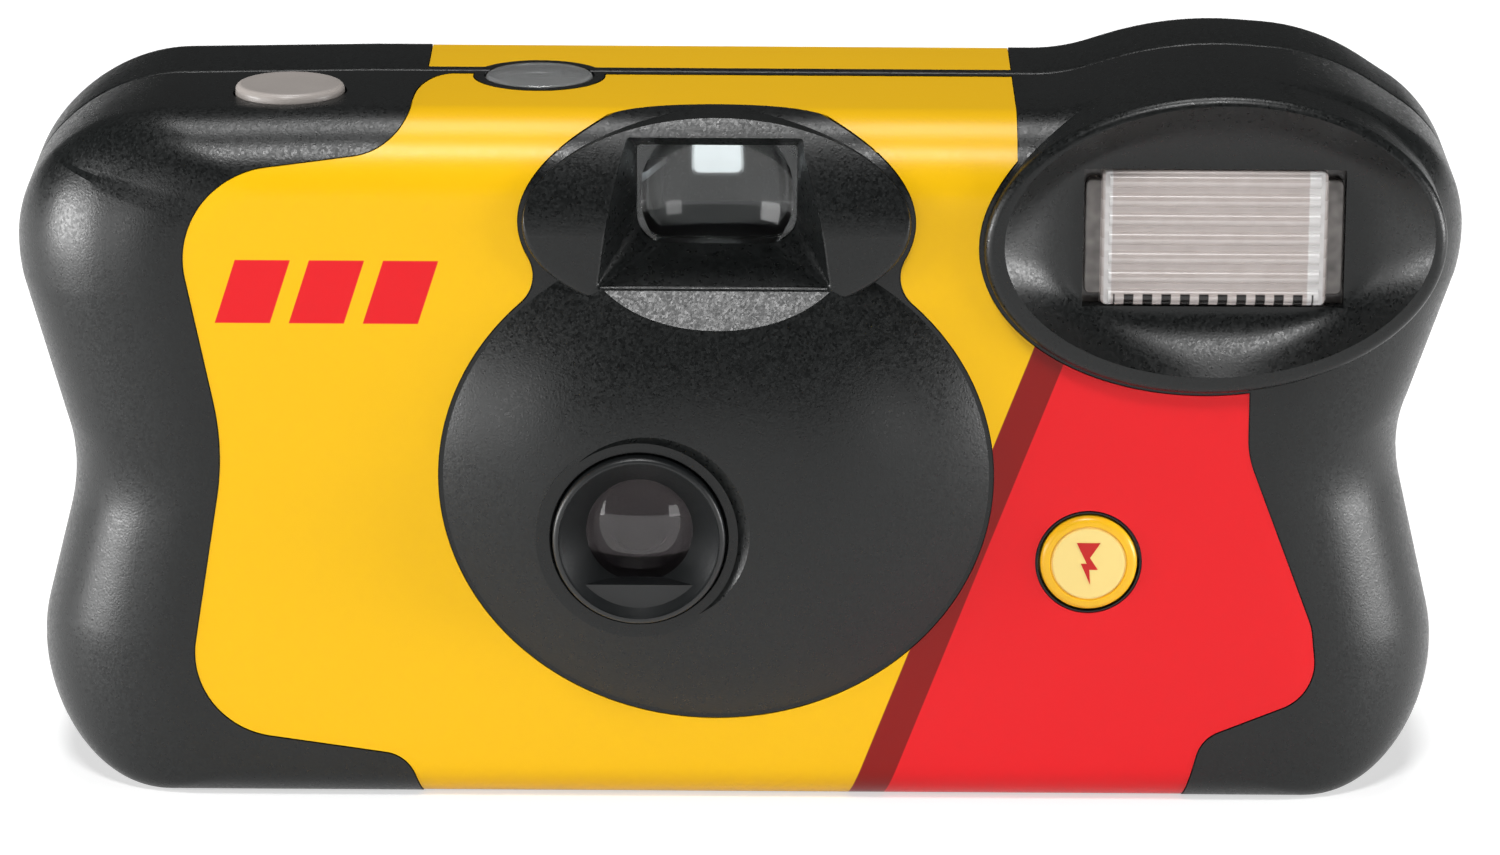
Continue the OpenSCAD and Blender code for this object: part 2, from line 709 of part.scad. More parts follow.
module cartridge_spool() {
    color("#202224") difference() {
        union() {
            rod_z(spool_r, cart_z + 0.3, cart_top + 3.2, cart_x, cart_y);
            rod_z(spool_r + 1.2, cart_z + 1.6, cart_top - 1.6, cart_x, cart_y);
        }
        box(cart_x - 0.9, cart_x + 0.9, cart_y - spool_r, cart_y + spool_r, cart_top + 1.2, cart_top + 4);
        rod_z(2.2, cart_z, cart_z + 6, cart_x, cart_y);
    }
}

module winding_wheel() {
    groove_r = 0.55;
    color("#1d1f20") difference() {
        union() {
            translate([cart_x, cart_y, wheel_z]) rotate_extrude()
                polygon([[0, 0], [wheel_r - 0.5, 0], [wheel_r, 0.5], [wheel_r, wheel_t - 0.5],
                         [wheel_r - 0.5, wheel_t], [0, wheel_t]]);
            rod_z(hub_r, wheel_z - 1.1, wheel_z + 1, cart_x, cart_y);
        }
        difference() {
            rod_z(spool_r + 0.2, wheel_z - 2, wheel_z + 2.2, cart_x, cart_y);
            box(cart_x - 0.7, cart_x + 0.7, cart_y - spool_r - 1, cart_y + spool_r + 1,
                wheel_z + 0.1, wheel_z + 3);
        }
        for (k = [1:wheel_grooves]) translate([cart_x, cart_y]) rotate(360 * k / wheel_grooves)
            rod_z(groove_r, wheel_z - 1, wheel_z + wheel_t + 1, wheel_r + 0.1, 0);
    }
}

module film_strip() {
    edge = film_w / 2 - 2 - perf_h / 2;
    holes = floor((film_x1 - film_x0) / perf_pitch) - 1;
    color("#5a3a30") difference() {
        box(film_x0, film_x1, film_y, film_y + film_t, lens_z - film_w / 2, lens_z + film_w / 2);
        for (k = [1:holes], side = [-1, 1])
            translate([film_x1 - (k - 0.5) * perf_pitch, film_y - 1, lens_z + side * edge - perf_h / 2])
                cube([perf_w, film_t + 2, perf_h]);
        box(sprocket_x - 4.2, sprocket_x + 4.2, film_y - 1, film_y + 1, perf_z - 1.1, perf_z + 1.1);
    }
}

module supply_spool() {
    color("#202224") difference() {
        union() {
            rod_z(core_r, shelf_top + 0.2, deck_z - 0.3, roll_x, roll_y);
            rod_z(roll_r - 0.3, shelf_top + 0.2, shelf_top + 0.2 + flange_t, roll_x, roll_y);
        }
        rod_z(pin_bore_r, 0, shelf_z + 6.3, roll_x, roll_y);
        rod_z(pin_bore_r, deck_z - 5.3, deck_top, roll_x, roll_y);
    }
}

module film_roll() {
    color("#4a3029") difference() {
        rod_z(roll_r - 0.25, lens_z - film_w / 2, lens_z + film_w / 2, roll_x, roll_y);
        rod_z(core_r, 0, body_h, roll_x, roll_y);
    }
}

// Film transport and counter

module sprocket_wheel() {
    color("#e6e6e0") {
        rod_z(shaft_r, perf_z - 2.6, counter_z + counter_t + 0.2, sprocket_x, sprocket_y);
        difference() {
            rod_z(sprocket_r - 0.6, perf_z - 0.7, perf_z + 0.7, sprocket_x, sprocket_y);
            for (k = [1:6]) translate([sprocket_x, sprocket_y]) rotate(60 * k)
                rod_z(0.9, 0, body_h, 3.3, 0);
        }
        for (k = [1:sprocket_teeth]) translate([sprocket_x, sprocket_y, perf_z - 0.5])
            rotate(360 * k / sprocket_teeth) linear_extrude(1)
                polygon([[sprocket_r - 1, -0.85], [sprocket_r + 0.85, -0.45], [sprocket_r + 0.85, 0.45],
                         [sprocket_r - 1, 0.85]]);
    }
}

module metering_cam() {
    color("#d9d9d2") difference() {
        rod_z(cam_r, cam_z, cam_z + cam_t, sprocket_x, sprocket_y);
        rod_z(shaft_r, 0, body_h, sprocket_x, sprocket_y);
        translate([sprocket_x, sprocket_y, cam_z - 1]) rotate(-107) translate([cam_r - 1.1, -0.9])
            cube([3, 1.8, cam_t + 2]);
    }
}

module counter_driver() {
    color("#d9d9d2") difference() {
        union() {
            rod_z(2.1, counter_z, counter_z + counter_t, sprocket_x, sprocket_y);
            translate([sprocket_x, sprocket_y, counter_z]) rotate(30) translate([0, -0.4])
                cube([2.55, 0.8, counter_t]);
        }
        rod_z(shaft_r, 0, body_h, sprocket_x, sprocket_y);
    }
}

module counter_wheel() {
    teeth = 40;
    color("#f0efe9") difference() {
        rod_z(counter_r, counter_z, counter_z + counter_t, counter_x, counter_y);
        rod_z(pin_bore_r, 0, body_h, counter_x, counter_y);
        for (k = [1:teeth]) translate([counter_x, counter_y]) rotate(360 * k / teeth)
            rod_z(0.3, counter_z - 1, counter_z + 0.5, counter_r, 0);
    }
}

module keeper_plate() {
    color("#c9ccce") difference() {
        union() {
            box(counter_x - 6.4, counter_x + 7.1, counter_y - 4.2, film_y - 1, keeper_z,
                keeper_z + keeper_t);
            rod_z(pin_r, keeper_z, counter_z + counter_t + 0.2, counter_x, counter_y);
            rod_z(2.4, keeper_z, counter_z - 0.2, counter_x, counter_y);
        }
        rod_z(shaft_bore_r, 0, body_h, sprocket_x, sprocket_y);
    }
}

module metering_lever() {
    color("#dcdcd4") difference() {
        union() {
            rod_z(2.3, cam_z, cam_z + cam_t, latch_x, latch_y);
            arm([latch_x, latch_y], [latch_x + 1.65, latch_y + 4.7], 1.6, 0.7, cam_z, cam_t);
            arm([latch_x, latch_y], [latch_x - 2, latch_y - 6.2], 1.6, 1.1, cam_z, cam_t);
        }
        rod_z(pin_bore_r, 0, body_h, latch_x, latch_y);
    }
}

module striker_lever() {
    color("#dcdcd4") difference() {
        union() {
            rod_z(2.5, striker_z, striker_z + striker_t, striker_x, striker_y);
            arm([striker_x, striker_y], [striker_x - 0.3, blade_y + 1.2], 1.7, 1.1, striker_z, striker_t);
            arm([striker_x, striker_y], [striker_x - 3.4, striker_y + 2.2], 1.6, 0.9, striker_z, striker_t);
            box(striker_x - 0.9, striker_x + 0.3, blade_y - 0.1, blade_y + 1.5, deck_top + 0.4,
                striker_z + 0.2);
        }
        rod_z(pin_bore_r, 0, body_h, striker_x, striker_y);
    }
}

// Coil wound closely round a post
module coil(r, wire, z0, z1, x, y) {
    turns = floor((z1 - z0) / (1.8 * wire));
    translate([x, y, z0]) rotate_extrude() for (k = [0:turns - 1])
        translate([r, wire * (1 + 1.8 * k)]) circle(wire, $fn = 24);
}

module striker_spring() {
    color("#b8bcc0") coil(1.75, 0.3, striker_z + striker_t + 0.1, keeper_z - 0.1, striker_x, striker_y);
}

module metering_spring() {
    color("#b8bcc0") coil(1.75, 0.3, cam_z + cam_t + 0.1, keeper_z - 0.1, latch_x, latch_y);
}

// Lens and shutter

module shutter_blade() {
    disc_r = 2.6;
    tail = [lens_x - 7.75, deck_top + 0.9];
    color("#111314") difference() {
        through(blade_y, blade_y + blade_t) {
            translate([pivot_x, pivot_z]) circle(2.2);
            translate([lens_x, lens_z]) circle(disc_r);
            polygon([[lens_x - disc_r, lens_z], [lens_x + disc_r, lens_z], [pivot_x + 2.1, pivot_z],
                     [pivot_x - 2.1, pivot_z]]);
            polygon([[pivot_x - 2, pivot_z], [pivot_x + 1, pivot_z + 1], [tail[0] + 0.9, tail[1]],
                     [tail[0] - 0.9, tail[1]]]);
        }
        rod_y(1.05, blade_y - 1, blade_y + 1, pivot_x, pivot_z);
    }
}

module shutter_plate() {
    color("#17191a") difference() {
        through(plate_y, plate_y + plate_t) {
            translate([lens_x, lens_z]) circle(8.6);
            translate([lens_x + 5.5, lens_z + 9.5]) circle(5);
            translate([pivot_x, pivot_z]) circle(2.6);
            polygon([[pivot_x, pivot_z + 2.6], [lens_x - 8.4, lens_z + 2], [lens_x + 8, lens_z - 3],
                     [lens_x + 10.4, lens_z + 9.5], [lens_x + 5.5, pivot_z + 5]]);
        }
        rod_y(2.2, plate_y - 1, plate_y + 2, lens_x, lens_z);
    }
}

module taking_lens() {
    color("#cfe0e6") intersection() {
        rod_y(lens_r, plate_y - 2.9, plate_y, lens_x, lens_z);
        translate([lens_x, plate_y + 6.1, lens_z]) sphere(9);
    }
}

module lens_retainer() {
    front = face_y - dome_rise;
    flange_y = plate_y - 1;
    color("#161819") difference() {
        union() {
            rod_y(lens_ring_r + 0.6, flange_y, plate_y - 0.05, lens_x, lens_z);
            rod_y(lens_ring_r, front, plate_y - 0.05, lens_x, lens_z);
        }
        rod_y(lens_r + 0.08, plate_y - 2.6, plate_y + 1, lens_x, lens_z);
        difference() {
            translate([lens_x, plate_y - 2, lens_z]) rotate([90, 0, 0])
                cylinder(r1 = lens_r - 0.75, r2 = lens_ring_r - 0.45, h = plate_y - 2 - front);
            box(lens_x - 6, lens_x + 6, front + 1, plate_y, lens_z - 8, lens_z - lens_r + 0.7);
        }
        rod_y(lens_ring_r - 0.45, front - 1, front + 0.02, lens_x, lens_z);
    }
}

module sync_contact() {
    x = lens_x - 9;
    color("#c8a24a") {
        box(x - 0.3, x + 1, board_y - 0.3, board_y, lens_z - 6, lens_z - 2);
        box(x - 0.3, x, board_y - 0.3, board_y + 5, lens_z - 6, lens_z - 2);
    }
}

// Viewfinder

module finder_lens() {
    w = finder_w + 0.8;
    h = finder_h + 0.8;
    color("#dfeaf0") difference() {
        translate([finder_x - w / 2, finder_y + 0.2, finder_lens_z]) cube([w, 3, h]);
        translate([finder_x, finder_y - 21.2, finder_z]) sphere(22);
    }
}

module finder_eyepiece() {
    color("#dfeaf0") {
        eyepiece_opening(0, in_rear - 2, rear_y - 0.4);
        eyepiece_opening(0.6, in_rear - 1.4, in_rear - 0.2);
    }
}

module counter_window() {
    r = counter_window_r;
    color("#e8eef0") translate([window_x, window_y, in_top - 1]) rotate_extrude()
        polygon([[0, 0], [r + 0.7, 0], [r + 0.7, 0.9], [r, 0.9], [r, wall + 0.8],
                 [r - 0.4, wall + 1.1], [0, wall + 1.2]]);
}

// Buttons

module shutter_button() {
    crown = body_h + 0.6;
    arm_z = button_flange_z - 0.3;
    color("#a8a19c") {
        translate([button_x, button_y, 0]) rotate_extrude()
            polygon([[0, button_flange_z], [shutter_button_r + 1.2, button_flange_z],
                     [shutter_button_r + 1.2, button_flange_z + 1.4],
                     [shutter_button_r, button_flange_z + 1.4], [shutter_button_r, crown - 0.5],
                     [shutter_button_r - 0.5, crown], [0, crown - 0.1]]);
        arm([button_x, button_y], [foot_x, foot_y], 2.4, 1.1, arm_z, 0.9);
        box(foot_x - 0.8, foot_x + 0.8, foot_y - 1.1, foot_y + 1.1, deck_top + shutter_travel + 0.4,
            arm_z + 0.5);
    }
}

module flash_button() {
    color("#f6cf3a") translate([flash_button_x, in_front + 2.6, flash_button_z]) rotate([90, 0, 0])
        rotate_extrude()
            polygon([[0, 0], [1.6, 0], [1.6, 1.4], [flash_button_r + 1.1, 1.4],
                     [flash_button_r + 1.1, 2.4], [flash_button_r, 2.4], [flash_button_r, wall + 2.6],
                     [flash_button_r - 0.6, wall + 3], [0, wall + 3.15]]);
}

module charge_switch_leaf() {
    color("#c8a24a")
        box(roll_x + 3.2, roll_x + 8, switch_y - 0.3, switch_y, switch_z - 4, flash_button_z + 4);
}

module charge_switch_contact() {
    color("#c8a24a") {
        box(roll_x + 3.2, roll_x + 8, switch_y + 1.2, switch_y + 1.5, switch_z, flash_button_z + 3);
        box(roll_x + 3.2, roll_x + 8, switch_y + 1.2, switch_y + 3, switch_z, switch_z + 0.3);
    }
}

// Flash

module flash_lens() {
    ribs = 7;
    w = flash_lens_w;
    h = flash_lens_h;
    color("#f2f2f2") translate([flash_lens_x, 0, flash_lens_z]) {
        through(flash_lens_y, flash_lens_y + 1.4) square([w, h], center = true);
        through(flash_lens_y + 0.5, flash_lens_y + 2.2) square([w + 2.6, h - 1.6], center = true);
        through(flash_lens_y + 1.7, flash_lens_y + 2.3) square([w + 4.4, h + 1.6], center = true);
        for (k = [1:ribs]) translate([-w / 2 + 0.6, flash_lens_y + 0.2, h * (k - 0.5) / ribs - h / 2])
            rotate([0, 90, 0]) cylinder(r = 0.6, h = w - 1.2, $fn = 32);
    }
}

// Half height of the reflector at a depth behind its mouth
function trough(depth, g) = flash_lens_h / 2 * sqrt(max(0, 1 - depth / trough_depth)) + g;

module reflector_profile(g) {
    n = 12;
    side = [for (k = [0:n]) let (d = trough_depth * sin(90 * k / n))
        [mouth_y + d + (k == n ? g : 0), trough(d, g)]];
    polygon(concat(side, [for (k = [n:-1:0]) [side[k][0], -side[k][1]]]));
}

module along_x(x0, x1) {
    translate([x0, 0, 0]) rotate([90, 0, 90]) linear_extrude(x1 - x0) children();
}

module flash_reflector() {
    half = flash_lens_w / 2 + 0.2;
    color("#dfe2e4") translate([flash_lens_x, 0, flash_lens_z]) difference() {
        along_x(-half, half) reflector_profile(0.4);
        along_x(-half + 0.4, half - 0.4) translate([-0.01, 0]) reflector_profile(0);
        translate([-half - 1, tube_y, 0]) rotate([0, 90, 0]) cylinder(r = 1.4, h = 2 * half + 2);
    }
}

module flash_tube() {
    half = flash_lens_w / 2 + 1.8;
    color("#eef3f5") translate([flash_lens_x, tube_y, flash_lens_z]) rotate([0, 90, 0]) {
        translate([0, 0, -half]) cylinder(r = 1.3, h = 2 * half);
        for (s = [-1, 1]) translate([0, 0, s * (half + 0.5) - 0.5]) cylinder(r = 0.9, h = 1);
    }
}

module flash_holder() {
    half = flash_lens_w / 2 - 2;
    color("#e9e9e4") translate([flash_lens_x, 0, flash_lens_z]) difference() {
        box(-half, half, tube_y - 0.4, pcb_y, -flash_lens_h / 2 - 0.6, flash_lens_h / 2 + 0.6);
        along_x(-half - 1, half + 1) reflector_profile(0.45);
    }
}

module circuit_board() {
    tab_x = lamp_x - 3.5;
    color("#b98a3d") through(pcb_y, pcb_y + pcb_t)
        polygon([[pcb_x0, shelf_top], [pcb_x0 + 12, shelf_top], [pcb_x1, 9.6],
                 [pcb_x1, flash_z + 4], [pcb_x0 + 12, lamp_z + 3.6], [tab_x, lamp_z + 3.6],
                 [tab_x, lamp_z - 3.6], [pcb_x0, lamp_z - 3.6]]);
}

module flash_capacitor() {
    lead = 0.4;
    color("#20242c") {
        rod_z(capacitor_r, capacitor_z, capacitor_z + capacitor_l, capacitor_x, capacitor_y);
        for (s = [-2, 2]) {
            rod_z(lead, capacitor_z - 0.8, capacitor_z + 1, capacitor_x + s, capacitor_y);
            rod_y(lead, capacitor_y, pcb_y, capacitor_x + s, capacitor_z - 0.8);
        }
    }
}

module charging_transformer() {
    x = pcb_x1 - 5.3;
    color("#3a3228") {
        box(x, x + 5, pcb_y - 5.6, pcb_y - 0.6, 11, 19);
        box(x + 0.7, x + 4.3, pcb_y - 6.2, pcb_y, 12.2, 17.8);
    }
}

module trigger_coil() {
    color("#7a5a3c") rod_y(2.2, pcb_y - 4.6, pcb_y, parts_x, 23);
}

module power_transistor() {
    color("#1a1b1d") difference() {
        rod_y(2.4, pcb_y - 4, pcb_y, parts_x, 29);
        box(parts_x - 3, parts_x + 3, pcb_y - 5, pcb_y + 1, 30.2, 33);
    }
}

module trigger_capacitor() {
    color("#a8532c") rod_y(1.9, pcb_y - 2, pcb_y, parts_x - 0.4, 34.6);
}

module charge_resistor() {
    z = capacitor_z + capacitor_l + 3;
    color("#d8c08a") {
        translate([capacitor_x - 3, pcb_y - 1.2, z]) rotate([0, 90, 0]) cylinder(r = 1.2, h = 6);
        for (x = [capacitor_x - 4.2, capacitor_x + 3.6])
            box(x, x + 0.6, pcb_y - 1.5, pcb_y, z - 0.3, z + 0.3);
        translate([capacitor_x - 4, pcb_y - 1.2, z]) rotate([0, 90, 0]) cylinder(r = 0.3, h = 8);
    }
}

module ready_lamp() {
    color("#e07a3a") rod_y(1.5, pcb_y + pcb_t, pcb_y + pcb_t + 4, lamp_x, lamp_z);
}

module ready_light_pipe() {
    color("#f3f0ea") {
        rod_y(2, pcb_y + pcb_t + 4.2, rear_y - 0.1, lamp_x, lamp_z);
        rod_y(2.9, in_rear - 1.2, in_rear - 0.1, lamp_x, lamp_z);
    }
}

// Battery and its contacts

module battery() {
    r = battery_r;
    color("#3b3f42") translate([battery_x, battery_y, battery_z]) rotate_extrude()
        polygon([[0, 0], [r - 0.4, 0], [r, 0.4], [r, battery_l - 0.4], [r - 0.4, battery_l],
                 [2.75, battery_l], [2.75, battery_l + 1], [0, battery_l + 1]]);
}

module battery_contact_negative() {
    z = shelf_top;
    color("#c9ccd0") {
        box(battery_x - 4, battery_x + 4, pcb_y + pcb_t, battery_y + 3.5, z, z + 0.3);
        coil(2.6, 0.3, z + 0.1, battery_z, battery_x, battery_y);
        box(battery_x - 2, battery_x + 2, pcb_y + pcb_t, pcb_y + pcb_t + 0.3, z, z + 5);
    }
}

module battery_contact_positive() {
    z = battery_top + 1;
    color("#c9ccd0") {
        box(battery_x - 3, battery_x + 3, pcb_y + pcb_t, battery_y + 3.5, z, z + 0.4);
        box(battery_x - 2, battery_x + 2, pcb_y + pcb_t, pcb_y + pcb_t + 0.3, z - 12, z + 0.4);
    }
}

front_cover();
rear_cover();
front_label();
rear_label();
main_frame();
cartridge_shell();
cartridge_end_caps();
cartridge_spool();
winding_wheel();
film_strip();
supply_spool();
film_roll();
sprocket_wheel();
metering_cam();
counter_driver();
counter_wheel();
keeper_plate();
metering_lever();
striker_lever();
striker_spring();
metering_spring();
shutter_blade();
shutter_plate();
taking_lens();
lens_retainer();
sync_contact();
finder_lens();
finder_eyepiece();
counter_window();
shutter_button();
flash_button();
charge_switch_leaf();
charge_switch_contact();
flash_lens();
flash_reflector();
flash_tube();
flash_holder();
circuit_board();
flash_capacitor();
charging_transformer();
trigger_coil();
power_transistor();
trigger_capacitor();
charge_resistor();
ready_lamp();
ready_light_pipe();
battery();
battery_contact_negative();
battery_contact_positive();
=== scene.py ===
"""Looks of a single-use film camera with a built-in flash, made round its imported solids."""

import json
import math

import bpy
import numpy as np
from mathutils import Matrix, Vector


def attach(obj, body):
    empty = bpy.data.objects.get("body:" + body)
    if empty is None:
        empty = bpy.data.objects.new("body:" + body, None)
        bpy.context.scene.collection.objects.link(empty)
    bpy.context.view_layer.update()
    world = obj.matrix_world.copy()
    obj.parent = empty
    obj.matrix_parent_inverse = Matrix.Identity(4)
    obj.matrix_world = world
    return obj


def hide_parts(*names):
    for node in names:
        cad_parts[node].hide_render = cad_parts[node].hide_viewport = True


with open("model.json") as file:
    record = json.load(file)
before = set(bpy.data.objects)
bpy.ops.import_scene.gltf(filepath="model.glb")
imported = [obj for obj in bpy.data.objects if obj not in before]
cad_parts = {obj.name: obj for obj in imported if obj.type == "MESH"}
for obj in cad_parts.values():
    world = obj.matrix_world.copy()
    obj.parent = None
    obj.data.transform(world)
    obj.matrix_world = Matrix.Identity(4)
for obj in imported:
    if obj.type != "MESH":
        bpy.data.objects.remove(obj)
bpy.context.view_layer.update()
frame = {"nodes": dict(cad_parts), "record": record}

# Sizes in millimetres, as the solids have them: +X right seen from the front, front faces -Y, +Z up
MM = 0.001
BODY_W, BODY_H, HUMP_RISE = 117.0, 56.5, 2.4
REAR_Y, FACE_Y, SEAM_Y, WALL = 18.0, -13.0, 5.5, 1.5
IN_REAR, IN_FRONT, IN_TOP = REAR_Y - WALL, FACE_Y + WALL, BODY_H - WALL
LABEL_DEPTH, LABEL_MARGIN, LABEL_GAP, LABEL_LEFT = 0.3, 1.2, 0.4, -25.5
FRONT_SIDE, FRONT_TOP, FRONT_BASE = 12.0, 6.5, 3.0
REAR_SIDE, REAR_TOP, REAR_DEPTH_SIDE, REAR_DEPTH_TOP = 8.0, 3.6, 7.0, 3.6
LENS_X, LENS_Z, LENS_R, LENS_RING_R = -7.9, 23.5, 4.6, 6.9
FINDER_X, FINDER_Y, FINDER_Z, FINDER_W, FINDER_H = -1.85, -8.7, 49.75, 12.8, 8.1
EYE_W, EYE_H, EYE_PLAY = 8.0, 6.4, 0.2
HOOD_A, HOOD_B, HOOD_Y, HOOD_Z, HOOD_LEAN = 15.45, 8.0, -14.2, 48.5, 4.2
DOME_X, DOME_Z, DOME_A, DOME_B, DOME_RISE, DOME_POWER = -1.8, 27.4, 21.9, 19.9, 5.0, 2.6
COLLAR_Y, PLATE_Y, RING_FRONT_Y = -17.1, -12.2, -18.0
FLASH_TILT, RIM_X, RIM_Y, RIM_Z, RIM_A, RIM_B = 2.4, 37.8, -14.2, 47.0, 18.4, 12.17
DISH_X, DISH_Z, DISH_A, DISH_B, DISH_DEPTH = 38.1, 47.4, 17.1, 11.1, 3.1
FLASH_LENS_X, FLASH_LENS_Y, FLASH_LENS_Z, FLASH_LENS_W, FLASH_LENS_H = 37.8, -11.3, 47.0, 18.0, 11.0
FLASH_BUTTON_X, FLASH_BUTTON_Z, FLASH_BUTTON_R, FLASH_DISC_R = 28.2, 20.5, 3.9, 3.0
SHUTTER_X, SHUTTER_Y, SHUTTER_R = -36.3, -2.0, 4.4
WINDOW_X, WINDOW_Y, WINDOW_R = -16.4, 3.8, 4.4
CART_X, CART_Y, CART_Z, CART_TOP, CART_ROOM_R = -38.0, 3.0, 1.7, 45.3, 12.8
WHEEL_Z, WHEEL_T, WHEEL_R, WHEEL_GROOVES, HUB_R, SPOOL_R = 46.8, 4.0, 14.0, 44, 5.4, 4.9
COUNTER_X, COUNTER_Y, COUNTER_TOP = -17.0, -1.2, 52.0
LAMP_X, LAMP_Z, LAMP_HOLE_R = 28.0, 49.75, 2.1
FILM_Y, FILM_W, ROLL_X = 14.2, 35.0, 22.5
HUMP_TRIM = 0.06
HALF_W, HUMP_Z = BODY_W / 2, BODY_H + HUMP_RISE - HUMP_TRIM
BUTTON_PLAY, WINDOW_PLAY, LABEL_PLAY, LABEL_INSET = 0.2, 0.1, 0.1, 0.05
FLASH_RIBS = 7

# Fineness of the rounded forms, and how square the corners of a soft box are
ARC_STEP, RUN, FRONT_RINGS, REAR_RINGS, INNER_RINGS, ROUND = 3.0, 2.0, 24, 16, 8, 160
SHARP, SHELF_SHARP = math.radians(32), math.radians(14)
BOX_POWER = 0.3

# Corners run anticlockwise seen from the front: x, z, corner radius
BODY_CORNERS = [
    (HALF_W - 1.6, 0, 10.5), (HALF_W - 1.6, 12.3, 13), (HALF_W - 5.4, 28.5, 14), (HALF_W + 0.23, 44.8, 10),
    (HALF_W - 0.9, BODY_H - 4.5, 10.5), (HALF_W - 10.9, HUMP_Z - 0.3, 18),
    (HALF_W - 23.3, HUMP_Z + 0.6, 30), (HALF_W - 32.5, BODY_H, 14), (-HALF_W + 28.5, BODY_H, 40),
    (-HALF_W + 7.3, BODY_H - 0.4, 14), (-HALF_W - 1.3, BODY_H - 9.2, 11), (-HALF_W + 4.9, 25.6, 16),
    (-HALF_W + 1.6, 12.3, 13), (-HALF_W + 1.6, 0, 10.5)]
FACE_CORNERS = [
    (HALF_W - 14, 3, 6), (HALF_W - 14, 12.3, 8), (HALF_W - 16.7, 26, 10), (HALF_W - 13, 42, 5),
    (HALF_W - 14.5, BODY_H - 8.6, 4), (HALF_W - 19.5, HUMP_Z - 6.6, 6), (HALF_W - 26, HUMP_Z - 6.2, 8),
    (HALF_W - 33, BODY_H - 6.5, 8), (-HALF_W + 28.5, BODY_H - 6.5, 20), (-HALF_W + 20, BODY_H - 6.5, 5),
    (-HALF_W + 13.4, BODY_H - 11, 6), (-HALF_W + 16.7, 26, 10), (-HALF_W + 14, 12.3, 8),
    (-HALF_W + 14, 3, 6)]
LABEL_CORNERS = [
    (34.5, -6, 0), (37.6, 5.6, 3), (46.9, 9.4, 4), (46.3, 15, 5), (40.8, 29.5, 8), (40.8, 44, 0),
    (22, 44, 0), (22, BODY_H + 6, 0), (LABEL_LEFT, BODY_H + 6, 0), (LABEL_LEFT, BODY_H - 2.4, 6),
    (-45.8, BODY_H - 4.9, 7.5), (-41.2, 29.5, 22), (-44.8, 6.4, 7), (-26.6, 3.8, 3), (-23.4, -6, 0)]
REAR_LABEL_CORNERS = [
    (LABEL_LEFT, BODY_H + 6, 0), (LABEL_LEFT, 43, 3), (-43, 41, 4), (-43, 6, 4), (LABEL_LEFT, 3.4, 2),
    (LABEL_LEFT, -6, 0), (35.5, -6, 0), (35.5, 3.4, 2), (46, 6, 4), (46, 41, 4), (22, 43, 3),
    (22, BODY_H + 6, 0)]


# Outlines, as arrays of x and z seen from the front

def rounded(corners, like=None):
    """Points and outward normals of rounded corners, with as many steps at each as like would have."""
    points, normals = [], []
    for i, (x, z, radius) in enumerate(corners):
        turn, before = turning(corners, i)
        steps = 0
        if (like or corners)[i][2]:
            steps = max(4, math.ceil(math.degrees(abs(turning(like or corners, i)[0])) / ARC_STEP))
        out = Vector((before.y, -before.x))
        side = math.copysign(1, turn)
        start = Vector((x, z)) - before * radius * math.tan(abs(turn) / 2)
        centre = start - out * side * radius
        for k in range(steps + 1):
            normal = Matrix.Rotation(turn * (k / steps if steps else 0.5), 2) @ out
            points.append(centre + normal * side * radius)
            normals.append(normal)
    return np.array(points), np.array(normals)


def turning(corners, i):
    """How far the outline turns at a corner, and the direction that it comes from."""
    back, here, ahead = (Vector(corners[k % len(corners)][:2]) for k in (i - 1, i, i + 1))
    before, after = (here - back).normalized(), (ahead - here).normalized()
    return math.atan2(before.cross(after), before.dot(after)), before


def spread(tracks):
    """Adds points to matching tracks wherever the first one runs straight."""
    first, rows = tracks[0], [[] for _ in tracks]
    for i in range(len(first)):
        j = (i + 1) % len(first)
        n = max(1, math.ceil(np.linalg.norm(first[j] - first[i]) / RUN))
        for row, track in zip(rows, tracks):
            row.extend(track[i] + (track[j] - track[i]) * k / n for k in range(n))
    return [np.array(row) for row in rows]


def full_turn(n):
    return np.arange(n) * 2 * math.pi / n


def round_edge(soft, n):
    """Inset and drop of a rounded edge, from its side to its face."""
    return [(soft * (1 - math.cos(t)), soft * (1 - math.sin(t))) for t in np.linspace(0, math.pi / 2, n)]


def oval(a, b, x=0.0, z=0.0, tilt=0.0, n=ROUND):
    angles = full_turn(n)
    line = np.column_stack((a * np.cos(angles), b * np.sin(angles)))
    return line @ np.array(Matrix.Rotation(math.radians(-tilt), 2)) + (x, z)


def soft_box(w, h, x=0.0, z=0.0):
    """A rectangle with full, round corners."""
    angles = full_turn(ROUND)
    across, up = (np.sign(k) * np.abs(k) ** BOX_POWER for k in (np.cos(angles), np.sin(angles)))
    return np.column_stack((w / 2 * across + x, h / 2 * up + z))


def box_corners(x0, x1, z0, z1, radius):
    return [(x0, z0, radius), (x1, z0, radius), (x1, z1, radius), (x0, z1, radius)]


def at_y(line, y):
    return np.column_stack((line[:, 0], np.broadcast_to(y, len(line)), line[:, 1]))


def at_z(line, z):
    return np.column_stack((line[:, 0], line[:, 1], np.broadcast_to(z, len(line))))


def at_x(line, x):
    return np.column_stack((np.broadcast_to(x, len(line)), line))


# Solids: closed meshes in millimetres until they are finished

def placed(name, data):
    """A new object in the scene."""
    thing = bpy.data.objects.new(name, data)
    bpy.context.scene.collection.objects.link(thing)
    return thing


